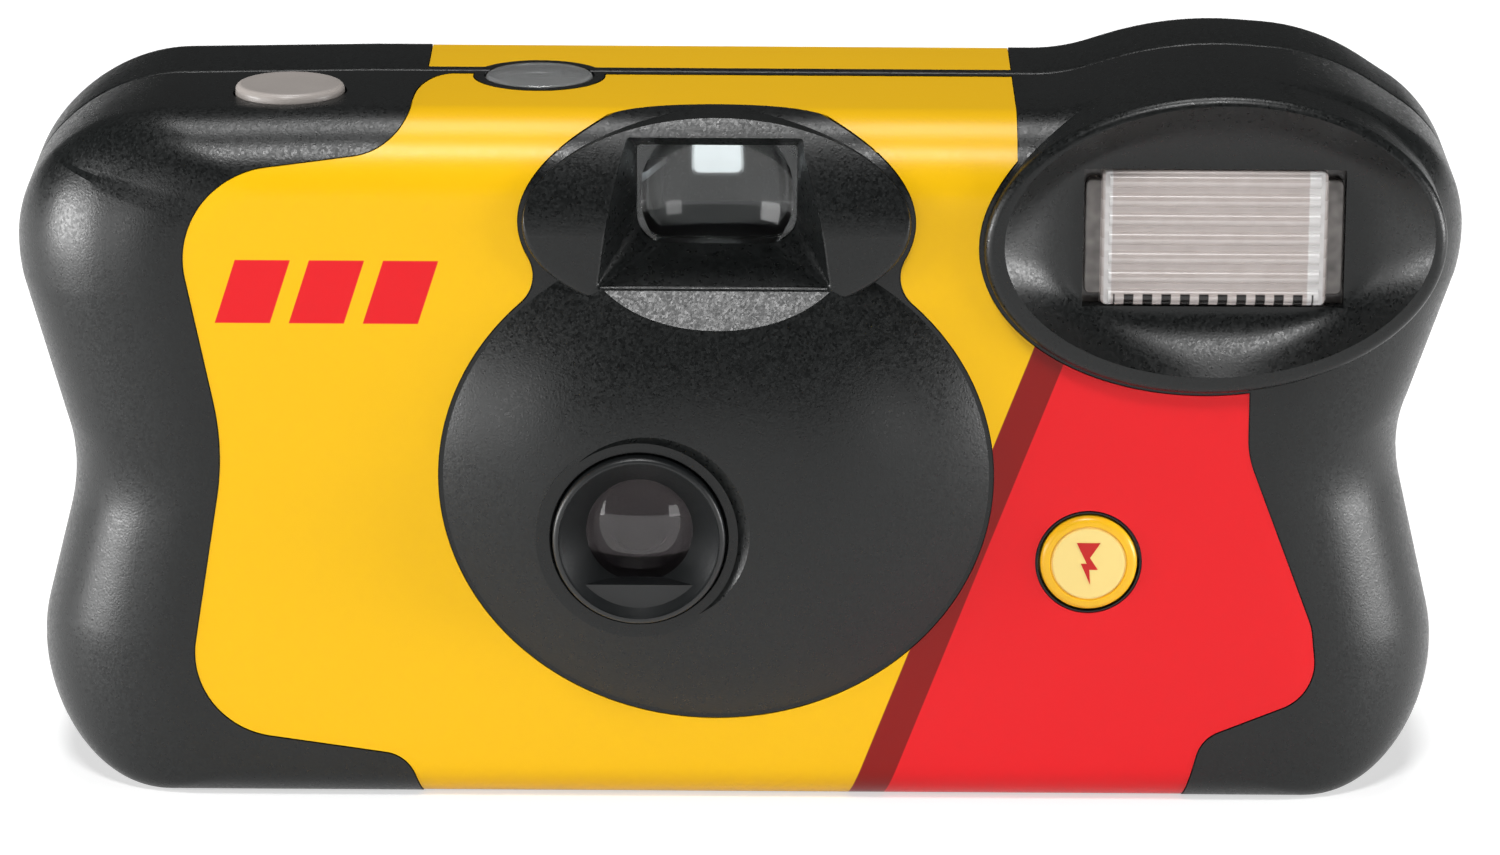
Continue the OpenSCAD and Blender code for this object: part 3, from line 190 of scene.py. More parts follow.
def loft(name, rings):
    """Solid through matching rings, from the rear to the front or from the base up."""
    n, m = len(rings[0]), len(rings)
    ahead = [(i + 1) % n for i in range(n)]
    faces = [(j * n + i, j * n + ahead[i], (j + 1) * n + ahead[i], (j + 1) * n + i)
             for j in range(m - 1) for i in range(n)]
    faces += [tuple(range(n))[::-1], tuple(range((m - 1) * n, m * n))]
    mesh = bpy.data.meshes.new(name)
    mesh.from_pydata(np.concatenate(rings).tolist(), [], faces)
    return placed(name, mesh)


def prism(line, y0, y1):
    return loft("prism", [at_y(line, y1), at_y(line, y0)])


def turned_y(profile, x, z):
    """Solid of revolution about Y, from radius and y pairs that run from the rear to the front."""
    return loft("turned", [at_y(oval(r, r, x, z), y) for r, y in profile])


def turned_z(profile, x, y, n=ROUND):
    """Solid of revolution about Z, from radius and z pairs that run up."""
    return loft("turned", [at_z(oval(r, r, x, y, n=n), z) for r, z in profile])


def block(x0, x1, y0, y1, z0, z1):
    return prism(np.array([(x0, z0), (x1, z0), (x1, z1), (x0, z1)]), y0, y1)


def soft_slab(corners, y0, y1, soft):
    """Plate with rounded corners and rounded edges at its front and rear."""
    line, normals = rounded(corners)
    arc = round_edge(soft, 5)
    rear = [at_y(line - normals * inset, y1 - drop) for drop, inset in arc]
    front = [at_y(line - normals * inset, y0 + drop) for drop, inset in arc[::-1]]
    return loft("slab", rear + front)


def discard(*solids):
    for solid in solids:
        mesh = solid.data
        bpy.data.objects.remove(solid)
        bpy.data.meshes.remove(mesh)


def evaluated(solid):
    """Turns a solid's modifiers into its plain mesh."""
    depsgraph = bpy.context.evaluated_depsgraph_get()
    mesh = bpy.data.meshes.new_from_object(solid.evaluated_get(depsgraph))
    solid.modifiers.clear()
    old, solid.data = solid.data, mesh
    bpy.data.meshes.remove(old)
    return solid


def combine(operation, solid, others):
    for other in others:
        step = solid.modifiers.new(operation, "BOOLEAN")
        step.operation, step.object, step.solver = operation, other, "MANIFOLD"
    evaluated(solid)
    discard(*others)
    return solid


def cut(solid, *others):
    return combine("DIFFERENCE", solid, others)


def join(solid, *others):
    return combine("UNION", solid, others)


def overlap(solid, *others):
    return combine("INTERSECT", solid, others)


def merged(solids):
    """Several solids as one mesh."""
    points, faces = [], []
    for solid in solids:
        start = len(points)
        points += [tuple(v.co) for v in solid.data.vertices]
        faces += [tuple(start + k for k in f.vertices) for f in solid.data.polygons]
    discard(*solids)
    mesh = bpy.data.meshes.new("merged")
    mesh.from_pydata(points, [], faces)
    return placed("merged", mesh)


def piece(name, solid, finish, body="root", stands_for=(), sharp=SHARP):
    """Finishes a solid: metres, smooth faces, its material, and the body that it rides."""
    solid.name = solid.data.name = name
    solid.data.transform(Matrix.Scale(MM, 4))
    solid.data.shade_smooth()
    solid.data.set_sharp_from_angle(angle=sharp)
    solid.data.materials.clear()
    solid.data.materials.append(finish)
    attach(solid, body)
    if stands_for:
        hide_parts(*stands_for)
    return solid


# Shader and geometry trees

class Term:
    """A node socket that Python's operators reckon with."""

    def __init__(self, tree, socket=None):
        self.tree, self.socket = tree, socket

    def make(self, kind, settings=None, inputs=None, out=0):
        """Adds a node, sets it up, fills or links its sockets, and gives one of its outputs."""
        node = self.tree.nodes.new(kind)
        for name, value in (settings or {}).items():
            setattr(node, name, value)
        for name, value in (inputs or {}).items():
            if isinstance(value, Term):
                self.tree.links.new(value.socket, node.inputs[name])
            else:
                node.inputs[name].default_value = value
        return Term(self.tree, node.outputs[out] if node.outputs else None)

    def math(self, operation, a, b=0.0, clamp=False):
        return self.make("ShaderNodeMath", {"operation": operation, "use_clamp": clamp}, {0: a, 1: b})

    def __add__(self, other):
        return self.math("ADD", self, other)

    def __radd__(self, other):
        return self.math("ADD", other, self)

    def __sub__(self, other):
        return self.math("SUBTRACT", self, other)

    def __rsub__(self, other):
        return self.math("SUBTRACT", other, self)

    def __mul__(self, other):
        return self.math("MULTIPLY", self, other)

    def __rmul__(self, other):
        return self.math("MULTIPLY", other, self)

    def __truediv__(self, other):
        return self.math("DIVIDE", self, other)

    def __abs__(self):
        return self.math("ABSOLUTE", self)

    def step(self, soft):
        """1 where this is above zero and 0 below, with an edge as wide as soft."""
        return self.math("ADD", self / soft, 0.5, clamp=True)

    def mix(self, low, high):
        """A colour between two, by this factor."""
        return self.make("ShaderNodeMix", {"data_type": "RGBA"}, {0: self, 6: low, 7: high}, out=2)

    def noise(self, place, size, detail=2.0):
        """Noise whose features are about size millimetres wide."""
        return self.make("ShaderNodeTexNoise", None,
                         {"Vector": place, "Scale": 1 / (size * MM), "Detail": detail, "Roughness": 0.5})


class Finish:
    """A material on one Principled shader, with the piece's own coordinates in millimetres."""

    def __init__(self, name, **constants):
        self.material = bpy.data.materials.new(name)
        self.material.use_nodes = True
        self.tree = self.material.node_tree
        self.shader = self.tree.nodes["Principled BSDF"]
        for socket, value in constants.items():
            self.shader.inputs[socket.replace("_", " ")].default_value = value
        self.term = Term(self.tree)
        self.place = self.term.make("ShaderNodeTexCoord", out="Object")

    def axes(self):
        parts = self.term.make("ShaderNodeSeparateXYZ", None, {0: self.place}).socket.node
        return [Term(self.tree, parts.outputs[k]) * (1 / MM) for k in range(3)]

    def drive(self, **terms):
        for socket, term in terms.items():
            self.tree.links.new(term.socket, self.shader.inputs[socket.replace("_", " ")])

    def relief(self, height, depth):
        """Bump from a height of 0 to 1 that stands for depth millimetres."""
        self.drive(Normal=self.term.make("ShaderNodeBump", None,
                                         {"Strength": 1.0, "Distance": depth * MM, "Height": height}))


def linear(code):
    """Linear colour of a six-digit sRGB code."""
    parts = [int(code[k:k + 2], 16) / 255 for k in (0, 2, 4)]
    return (*(c / 12.92 if c <= 0.04045 else ((c + 0.055) / 1.055) ** 2.4 for c in parts), 1.0)


def shade_of(colour, factor):
    return (*(c * factor for c in colour[:3]), 1.0)


def moulded(name, code, roughness, grain=0.35, depth=0.012, level=0.4):
    """Moulded plastic with a fine spark-eroded grain and a faint cloudiness."""
    finish = Finish(name, Specular_IOR_Level=level)
    colour, cloud_size, deep, pale, uneven = linear(code), 6.0, 0.86, 1.14, 0.12
    cloud = finish.term.noise(finish.place, cloud_size)
    fine = finish.term.noise(finish.place, grain, 1.0)
    finish.drive(Base_Color=cloud.mix(shade_of(colour, deep), shade_of(colour, pale)),
                 Roughness=roughness + uneven * (fine - 0.5))
    finish.relief(fine, depth)
    return finish.material


def cover_plastic():
    """Black cover plastic: sandy grain outside, finer inside the flash dish and the viewfinder."""
    finish = Finish("cover_plastic", Specular_IOR_Level=0.38)
    sand_size, sand_depth, grit_size, cloud_size, calmed = 0.18, 0.014, 0.2, 9.0, 0.4
    black, deep, pale, roughness, uneven = linear("121414"), 0.3, 1.6, 0.34, 0.2
    mouth_w, mouth_h, soft = 9.6, 6.9, 0.1
    x, y, z = finish.axes()
    across, up = (x - DISH_X) / DISH_A, (z - DISH_Z) / DISH_B
    in_dish = (1.02 - (across * across + up * up)).step(0.05)
    beside, above = mouth_w - abs(x - FINDER_X), mouth_h - abs(z - FINDER_Z)
    in_finder = beside.step(soft) * above.step(soft) * (y - HOOD_Y - 0.1).step(soft)
    smooth = finish.term.math("MAXIMUM", in_dish, in_finder)
    sand = finish.term.noise(finish.place, sand_size, 1.0)
    grit = finish.term.make("ShaderNodeTexVoronoi", None,
                            {"Vector": finish.place, "Scale": 1 / (grit_size * MM)}, out="Color")
    cloud = finish.term.noise(finish.place, cloud_size)
    speck = grit * 0.7 + cloud * 0.3
    finish.drive(Base_Color=speck.mix(shade_of(black, deep), shade_of(black, pale)),
                 Roughness=roughness + uneven * (grit - 0.5))
    finish.relief(sand * (1 - calmed * smooth), sand_depth)
    return finish.material


def label_print():
    """Printed sheet: yellow with a slanted red field, its dark stripe, and three small bars."""
    finish = Finish("label_print", Specular_IOR_Level=0.28)
    yellow_ink, red_ink, stripe_ink = linear("fdc50c"), linear("ed1c24"), linear("8b0f0a")
    soft, stripe, fibre_size, tone_size, roughness, uneven = 0.08, 2.7, 0.5, 14.0, 0.32, 0.1
    bar_count, bar_w, bar_gap, bar_h, bar_x, bar_z, lean = 3, 4.4, 1.5, 5.2, -41.0, 42.6, 0.32
    foot, head = Vector((8.2, -2.0)), Vector((23.4, 38.0))
    run = (head - foot).normalized()
    x, y, z = finish.axes()
    beyond = (x - foot.x) * run.y - (z - foot.y) * run.x
    slid = x - bar_x - (z - bar_z) * lean
    middles = [(bar_w + bar_gap) * k + bar_w / 2 for k in range(bar_count)]
    bars = sum((bar_w / 2 - abs(slid - middle)).step(soft) for middle in middles)
    bars = bars * (bar_h / 2 - abs(z - bar_z)).step(soft) * (SEAM_Y - y).step(soft)
    fibre = finish.term.noise(finish.place, fibre_size, 3.0)
    tone = finish.term.noise(finish.place, tone_size)
    yellow = tone.mix(shade_of(yellow_ink, 0.97), yellow_ink)
    red = tone.mix(shade_of(red_ink, 0.95), red_ink)
    field = (beyond - stripe).step(soft).mix(stripe_ink, red)
    printed = beyond.step(soft).mix(bars.mix(yellow, red), field)
    finish.drive(Base_Color=printed, Roughness=roughness + uneven * (fibre - 0.5))
    finish.relief(fibre, 0.004)
    return finish.material


def clear(name, code, roughness, index=1.49, weight=1.0):
    """Clear moulded plastic or glass with a trace of haze."""
    finish = Finish(name, Transmission_Weight=weight, IOR=index)
    haze = finish.term.noise(finish.place, 4.0)
    tint = linear(code)
    finish.drive(Base_Color=haze.mix(shade_of(tint, 0.97), tint), Roughness=roughness + 0.02 * haze)
    return finish.material


def metal(name, code, roughness):
    """Drawn or rolled metal with a faint grain."""
    finish = Finish(name, Metallic=1.0)
    colour, grain, uneven = linear(code), 0.6, 0.1
    drawn = finish.term.noise(finish.place, grain, 3.0)
    finish.drive(Base_Color=drawn.mix(shade_of(colour, 0.9), colour),
                 Roughness=roughness + uneven * (drawn - 0.5))
    finish.relief(drawn, 0.002)
    return finish.material


COVER, LABEL = cover_plastic(), label_print()
FINISHES = {
    "body_plastic": COVER,
    "frame_plastic": moulded("frame_plastic", "1b1d1e", 0.55),
    "label_print": LABEL,
    "button_grey": moulded("button_grey", "a8a19c", 0.34, 0.3, 0.006, 0.5),
    "button_yellow": moulded("button_yellow", "f9c22b", 0.32, 0.4, 0.003, 0.5),
    "light_plastic": moulded("light_plastic", "e2e0d8", 0.42),
    "clear_plastic": clear("clear_plastic", "eef3f4", 0.07),
    "window_plastic": clear("window_plastic", "e6e8e8", 0.08, weight=0.8),
    "lens_plastic": clear("lens_plastic", "d9cfd2", 0.015),
    "flash_glass": clear("flash_glass", "f6f1f0", 0.02, 1.46),
    "bright_metal": metal("bright_metal", "ece9e7", 0.3),
    "spring_steel": metal("spring_steel", "b9bbbf", 0.3),
    "contact_brass": metal("contact_brass", "c8a24a", 0.3),
    "cartridge_paint": moulded("cartridge_paint", "d8b21f", 0.25, 0.6, 0.003, 0.5),
    "cartridge_cap": metal("cartridge_cap", "b9bcbe", 0.28),
    "film_base": moulded("film_base", "5a3a30", 0.22, 0.5, 0.002, 0.5),
    "board_laminate": moulded("board_laminate", "b98a3d", 0.5, 0.8, 0.01),
    "component_dark": moulded("component_dark", "20242c", 0.35),
    "component_tan": moulded("component_tan", "9c6a42", 0.42),
    "cell_jacket": moulded("cell_jacket", "3b3f42", 0.3, 0.5, 0.003, 0.5),
    "lamp_glass": clear("lamp_glass", "e07a3a", 0.03),
}
for row in frame["record"]["subparts"]:
    for material_slot in frame["nodes"][row["node"]].material_slots:
        material_slot.material = FINISHES[row["material_slot"]]


# Moulded skin of both covers

OUTLINE, NORMALS, FACE_LINE = spread([*rounded(BODY_CORNERS), rounded(FACE_CORNERS, BODY_CORNERS)[0]])


def by_direction(side, top):
    return side * NORMALS[:, 0] ** 2 + top * NORMALS[:, 1] ** 2


def front_ring(w, t):
    """Ring of the front skin, inset by w: t runs from the straight wall to the flat face."""
    edge = OUTLINE - NORMALS * w
    share = 1 - math.cos(math.pi / 2 * t)
    depth = by_direction(FRONT_SIDE, np.where(NORMALS[:, 1] > 0, FRONT_TOP, FRONT_BASE)) - w
    return at_y(edge + (FACE_LINE - edge) * share, FACE_Y + w + depth * (1 - math.sin(math.pi / 2 * t)))


def rear_ring(w, t):
    inset = w + (by_direction(REAR_SIDE, REAR_TOP) - w) * (1 - math.cos(math.pi / 2 * t))
    depth = by_direction(REAR_DEPTH_SIDE, REAR_DEPTH_TOP) - w
    return at_y(OUTLINE - NORMALS * inset[:, None], REAR_Y - w - depth * (1 - math.sin(math.pi / 2 * t)))


def edge_ring(w, y):
    return at_y(OUTLINE - NORMALS * w, y)


# Inset and distance from the seam of the rounded edge that makes the seam's groove, and of a plain edge
SEAM_EDGE = [(0.3, 0.03), (0.12, 0.1), (0.03, 0.25), (0.0, 0.45)]
PLAIN_EDGE = [(0.0, 0.0)]


def front_form(w, y1, rings=FRONT_RINGS, grooved=False):
    edge = SEAM_EDGE if grooved else PLAIN_EDGE
    wall = [edge_ring(w + inset, y1 - drop) for inset, drop in edge]
    return loft("front_form", wall + [front_ring(w, k / rings) for k in range(rings + 1)])


def rear_form(w, y0, rings=REAR_RINGS, grooved=False):
    edge = SEAM_EDGE if grooved else PLAIN_EDGE
    wall = [edge_ring(w + inset, y0 + drop) for inset, drop in edge[::-1]]
    return loft("rear_form", [rear_ring(w, k / rings) for k in range(rings, -1, -1)] + wall)


# Front features

def dome(w, rings=36):
    a, b, root = DOME_A - w, DOME_B - w, 0.7
    shares = [math.cos(math.pi / 2 * k / rings) for k in range(rings)]
    foot = at_y(oval(a, b, DOME_X, DOME_Z), FACE_Y + w + root)
    crown = [at_y(oval(a * t, b * t, DOME_X, DOME_Z), FACE_Y + w - DOME_RISE * (1 - t ** DOME_POWER))
             for t in shares]
    return loft("dome", [foot] + crown)


def soft_oval(a, b, x, z, tilt, y0, y1, soft):
    """Oval boss whose front edge is rounded."""
    foot = at_y(oval(a, b, x, z, tilt), y1)
    edge = [at_y(oval(a - inset, b - inset, x, z, tilt), y0 + drop) for inset, drop in round_edge(soft, 8)]
    return loft("boss", [foot] + edge)


def hood():
    """Oval boss round the viewfinder, whose front leans back towards the top."""
    foot, rise, drop, soft = HOOD_Z - 1.5, HOOD_B + 2.5, 20, 0.5
    front = [(HOOD_Y + HOOD_LEAN * s * s, foot + rise * s) for s in np.linspace(1, 0, 24)]
    side = np.array([(SEAM_Y, foot - drop), (SEAM_Y, foot + rise), *front, (HOOD_Y - 1, foot),
                     (HOOD_Y - 1, foot - drop)])
    boss = soft_oval(HOOD_A, HOOD_B, FINDER_X, HOOD_Z, 0, HOOD_Y, FACE_Y + FRONT_TOP, soft)
    lean = loft("lean", [at_x(side, FINDER_X + reach) for reach in (-2 * HOOD_A, 2 * HOOD_A)])
    return overlap(boss, lean)


def shelf_cut():
    """Slanting cut that leaves the shelf under the viewfinder."""
    slope, foot, half, a, b = math.radians(53), HOOD_Z - 5.2, 20, 13.2, 8.8
    wedge_front, wedge_rear, wedge_h = -20, 2, 30
    wedge = block(FINDER_X - half, FINDER_X + half, wedge_front, wedge_rear, 0, wedge_h)
    wedge.data.transform(Matrix.Translation((0, HOOD_Y, foot)) @ Matrix.Rotation(slope, 4, "X"))
    return overlap(wedge, prism(oval(a, b, FINDER_X, HOOD_Z), FACE_Y - 2 * DOME_RISE, HOOD_Y))


def finder_funnel(g, lip=0.0):
    """Tapering mouth of the viewfinder; lip rounds its edge at the front."""
    w, h, low_r, r = FINDER_W / 2 + g, FINDER_H / 2 + g, 2.4, 0.3
    foot_z, foot_left, foot_right = -6.2, -9.35, 8.95
    top_z, top_left, top_right = 6.3, -7.7, 7.1
    window = [(-w, -h, low_r), (w, -h, low_r), (w, h, r), (-w, h, r)]

    def mouth(out):
        foot, top = foot_z - out, top_z + out / 2
        return [(foot_left - out, foot, r), (foot_right + out, foot, r), (top_right + out, top, r),
                (top_left - out, top, r)]

    def ring(corners, y):
        return at_y(rounded(corners, window)[0] + (FINDER_X, FINDER_Z), y)

    edge = round_edge(lip, 8) if lip else [(0, 0)]
    rings = [ring(window, FINDER_Y)]
    rings += [ring(mouth(g + out), HOOD_Y + rise) for rise, out in edge[::-1]]
    return loft("funnel", rings + [ring(mouth(g + lip), HOOD_Y - 1)])


def flash_barrel(w, y0, y1):
    """Oval barrel of the flash, inset by w; its outside has a rounded rim."""
    soft = 0.8
    if w:
        return prism(oval(RIM_A - w, RIM_B - w, RIM_X, RIM_Z, FLASH_TILT), y0, y1)
    return soft_oval(RIM_A, RIM_B, RIM_X, RIM_Z, FLASH_TILT, y0, y1, soft)


def dish(g, rings=20):
    """Hollow that runs from the oval flash rim to the flash cover, grown by g."""
    side_room, top_room, middle = 2.9, 0.6, (DISH_X, DISH_Z)
    w, h = FLASH_LENS_W + side_room + 2 * g, FLASH_LENS_H + top_room + 2 * g
    rim = oval(DISH_A + g, DISH_B + g, 0, 0, FLASH_TILT)
    floor = soft_box(w, h, FLASH_LENS_X - DISH_X, FLASH_LENS_Z - DISH_Z)
    shares = [k / rings for k in range(rings, -1, -1)]
    slope = [at_y(rim * (1 - s) + floor * s + middle, RIM_Y + g + DISH_DEPTH * math.sin(math.pi / 2 * s))
             for s in shares]
    return loft("dish", slope + [at_y(rim + middle, RIM_Y - 2)])


def waist_line(gap):
    """Outline of dome and hood together at a gap, with a fillet in each waist between them."""
    fillet, hood_b = 3.0, HOOD_B + 0.8
    reach = gap + fillet

    def offset(a, b, x, z, out, angle):
        normal = np.column_stack((b * np.cos(angle), a * np.sin(angle)))
        normal /= np.linalg.norm(normal, axis=1)[:, None]
        return np.column_stack((a * np.cos(angle) + x, b * np.sin(angle) + z)) + normal * out

    def dome_at(out, angle):
        return offset(DOME_A, DOME_B, DOME_X, DOME_Z, out, np.atleast_1d(angle))

    fine = np.linspace(-math.pi / 4, 5 * math.pi / 4, 4000)
    hood_fine = offset(HOOD_A, hood_b, FINDER_X, HOOD_Z, 0, fine)

    def touch(side):
        """Centre of the fillet circle, and where it touches dome and hood."""
        low, high = math.radians(20), math.radians(75)
        for _ in range(40):
            middle = (low + high) / 2
            angle = middle if side > 0 else math.pi - middle
            centre = dome_at(reach, angle)[0]
            away = np.linalg.norm(hood_fine - centre, axis=1)
            low, high = (middle, high) if away.min() > reach else (low, middle)
        return centre, angle, fine[away.argmin()]

    right, dome_right, hood_right = touch(1)
    left, dome_left, hood_left = touch(-1)

    def fillet_arc(centre, start, end):
        first, last = (math.atan2(p[1] - centre[1], p[0] - centre[0]) for p in (start, end))
        sweep = (last - first + math.pi) % (2 * math.pi) - math.pi
        angles = first + np.linspace(0, 1, 20)[1:-1] * sweep
        return centre + fillet * np.column_stack((np.cos(angles), np.sin(angles)))

    hood_arc = offset(HOOD_A, hood_b, FINDER_X, HOOD_Z, gap, np.linspace(hood_right, hood_left, 100))
    dome_arc = dome_at(gap, np.linspace(dome_left, dome_right + 2 * math.pi, 160))
    return np.concatenate((hood_arc, fillet_arc(left, hood_arc[-1], dome_arc[0]), dome_arc,
                           fillet_arc(right, dome_arc[-1], hood_arc[0])))


def window_surround(g):
    return turned_z([(WINDOW_R + 1 - g, IN_TOP - 1), (WINDOW_R + 1 - g, BODY_H + 1)], WINDOW_X, WINDOW_Y)


def label_shoulder(g):
    """Long round corner of the front label beside the seam, seen from above."""
    a, b, swell = 2.95, 9.0, 0.75
    x, y = LABEL_LEFT - swell + a, SEAM_Y - LABEL_MARGIN - b
    square = np.array([(x - a - 1, y), (x, y), (x, y + b + 1), (x - a - 1, y + b + 1)])
    corner = loft("corner", [at_z(square, z) for z in (IN_TOP - 2, IN_TOP + 4)])
    return cut(corner, loft("round", [at_z(oval(a + g, b + g, x, y), z) for z in (IN_TOP - 3, IN_TOP + 5)]))


def grown(corners, g):
    line, normals = rounded(corners)
    return line + normals * g


def hood_opening(g):
    """Opening of the label round dome and hood, ending in an oval on the top."""
    gap, reach, r = LABEL_GAP - g, FRONT_TOP + 1.8, 17.0
    face = block(-HALF_W, HALF_W, FACE_Y - 3, FACE_Y + 2, 0, BODY_H - 2.5)
    top = loft("top", [at_z(oval(r - g, r - g, FINDER_X, HOOD_Y + reach - r), z) for z in (0, BODY_H + 2)])
    return overlap(join(face, top), prism(waist_line(gap), FACE_Y - 2, FACE_Y + FRONT_TOP + 3))


def label_prism(g):
    """What the front label covers, grown by g."""
    sheet = prism(grown(LABEL_CORNERS, g), FACE_Y - 1, SEAM_Y - LABEL_MARGIN + g)
    gap = LABEL_GAP - g
    button_r = FLASH_BUTTON_R + gap
    rim_hole = prism(oval(RIM_A + gap, RIM_B + gap, RIM_X, RIM_Z, FLASH_TILT), -30, 30)
    button_hole = prism(oval(button_r, button_r, FLASH_BUTTON_X, FLASH_BUTTON_Z), -30, 0)
    return cut(sheet, rim_hole, button_hole, hood_opening(g), window_surround(g), label_shoulder(g))


def rear_label_prism(g):
    """What the rear label covers, grown by g."""
    sheet = prism(grown(REAR_LABEL_CORNERS, g), SEAM_Y + LABEL_MARGIN - g, REAR_Y + 1)
    w, h = EYE_W + 5.0 - 2 * g, EYE_H + 4.6 - 2 * g
    eye_hole = prism(soft_box(w, h, FINDER_X, FINDER_Z), 0, 30)
    return cut(sheet, eye_hole, window_surround(g))


def cartridge_room():
    return turned_z([(CART_ROOM_R, CART_Z - 0.2), (CART_ROOM_R, CART_TOP + 0.2)], CART_X, CART_Y)


def hole_y(radius, y0, y1, x, z):
    return turned_y([(radius, y1), (radius, y0)], x, z)


def hole_z(radius, x, y):
    return turned_z([(radius, IN_TOP - 1), (radius, BODY_H + 1)], x, y)


def front_cover():
    """Front shell with its dome, hood and flash rim, its label recess and its openings."""
    barrel = flash_barrel(WALL, RIM_Y + 1.6, IN_FRONT + 6)
    hollow = join(front_form(WALL, SEAM_Y + 1, INNER_RINGS), dome(WALL, 12), barrel, cartridge_room())
    cut(hollow, finder_funnel(1.2), dish(1.3, INNER_RINGS))
    recess = cut(label_prism(LABEL_PLAY), front_form(LABEL_DEPTH, SEAM_Y + 2))
    boss = cut(join(dome(0), hood()), shelf_cut())
    bore_r, collar_r, mouth_r = LENS_RING_R + 0.15, LENS_RING_R + 1.35, LENS_RING_R + 2.4
    collar = turned_y([(collar_r, IN_FRONT + 1), (collar_r, COLLAR_Y)], LENS_X, LENS_Z)
    shell = cut(front_form(0, SEAM_Y, grooved=True), recess)
    join(shell, boss, flash_barrel(0, RIM_Y, IN_FRONT + 5), collar)
    lens_bore = [(bore_r, IN_FRONT + 2), (bore_r, COLLAR_Y + 0.12), (LENS_RING_R + 0.27, COLLAR_Y),
                 (LENS_RING_R + 1, COLLAR_Y), (mouth_r, COLLAR_Y - 1.2), (mouth_r, COLLAR_Y - 4)]
    half_w, half_h, side, top = FLASH_LENS_W / 2, FLASH_LENS_H / 2, 1.45, 0.15
    window = block(FLASH_LENS_X - half_w - side, FLASH_LENS_X + half_w + side, RIM_Y + 1.5,
                   RIM_Y + DISH_DEPTH + 3, FLASH_LENS_Z - half_h - top, FLASH_LENS_Z + half_h + top)
    button_r = FLASH_BUTTON_R + BUTTON_PLAY
    button_hole = hole_y(button_r, FACE_Y - 2, IN_FRONT + 1, FLASH_BUTTON_X, FLASH_BUTTON_Z)
    return cut(shell, hollow, finder_funnel(0, lip=0.35), dish(0), turned_y(lens_bore, LENS_X, LENS_Z),
               window, button_hole, hole_z(SHUTTER_R + BUTTON_PLAY, SHUTTER_X, SHUTTER_Y),
               hole_z(WINDOW_R + WINDOW_PLAY, WINDOW_X, WINDOW_Y))


def thumb_recess(g):
    """Sloping recess round the winding wheel's slot, grown by g."""
    middle, depth = WHEEL_Z + WHEEL_T / 2, 2.4

    def corners(half_w, low, high, r):
        left, right = CART_X - half_w - g, CART_X + half_w + g
        return box_corners(left, right, middle - low - g / 2, middle + high + g, r)

    outer, inner = corners(13, 4.9, 5, 1.2), corners(8, 2.5, 3, 0.8)
    rim, floor = rounded(outer)[0], rounded(inner, outer)[0]
    return loft("thumb_recess", [at_y(rim, REAR_Y + 1), at_y(rim, REAR_Y), at_y(floor, REAR_Y - depth - g)])


def rear_cover():
    """Rear shell with its label recess, thumb recess, film rails, tongues and openings."""
    middle, slot_w, slot_play = WHEEL_Z + WHEEL_T / 2, 9.4, 0.4
    rail_left, rail_right, rail_gap, rail_t, rail_inset = CART_X + 14, ROLL_X - 11, 0.45, 1.4, 0.2
    tongue_x, tongue_w, tongue_t, tongue_play, bite = (-16, 2), 7, 1, 1, 0.02
    recess = cut(rear_label_prism(LABEL_PLAY), rear_form(LABEL_DEPTH, SEAM_Y - 2))
    hollow = cut(rear_form(WALL, SEAM_Y - 1, INNER_RINGS), thumb_recess(1.2))
    shell = cut(rear_form(0, SEAM_Y, grooved=True), recess, thumb_recess(0), hollow)
    rails = [block(rail_left, rail_right, FILM_Y + rail_gap, IN_REAR + 0.5, z, z + rail_t)
             for z in (LENS_Z - FILM_W / 2 + rail_inset, LENS_Z + FILM_W / 2 - rail_inset - rail_t)]
    tongues = [block(x, x + tongue_w, SEAM_Y - 3, IN_REAR - 3, WALL - bite, WALL + tongue_t)
               for x in tongue_x]
    join(shell, *rails, *tongues)
    slot = block(CART_X - slot_w, CART_X + slot_w, IN_REAR - 6, REAR_Y + 1,
                 middle - WHEEL_T / 2 - slot_play, middle + WHEEL_T / 2 + slot_play)
    eye_line = soft_box(EYE_W + 2 * EYE_PLAY, EYE_H + 2 * EYE_PLAY, FINDER_X, FINDER_Z)
    eye_hole = prism(eye_line, IN_REAR - 1, REAR_Y + 1)
    lamp_hole = hole_y(LAMP_HOLE_R, IN_REAR - 1, REAR_Y + 1, LAMP_X, LAMP_Z)
    notches = [block(x - tongue_play, x + tongue_w + tongue_play, SEAM_Y - 4, SEAM_Y + bite, 0, WALL + 0.1)
               for x in tongue_x]
    return cut(shell, slot, cartridge_room(), eye_hole, lamp_hole,
               hole_z(WINDOW_R + WINDOW_PLAY, WINDOW_X, WINDOW_Y), *notches)


piece("front_cover_shell", front_cover(), COVER, stands_for=["front_cover"],
      sharp=SHELF_SHARP)
piece("rear_cover_shell", rear_cover(), COVER, stands_for=["rear_cover"])
front_sheet = overlap(front_form(LABEL_INSET, SEAM_Y), label_prism(0))
rear_sheet = overlap(rear_form(LABEL_INSET, SEAM_Y), rear_label_prism(0))
piece("front_label_sheet", cut(front_sheet, front_form(LABEL_DEPTH, SEAM_Y + 1)), LABEL,
      stands_for=["front_label"])
piece("rear_label_sheet", cut(rear_sheet, rear_form(LABEL_DEPTH, SEAM_Y - 1)), LABEL,
      stands_for=["rear_label"])


# Lens and its ring

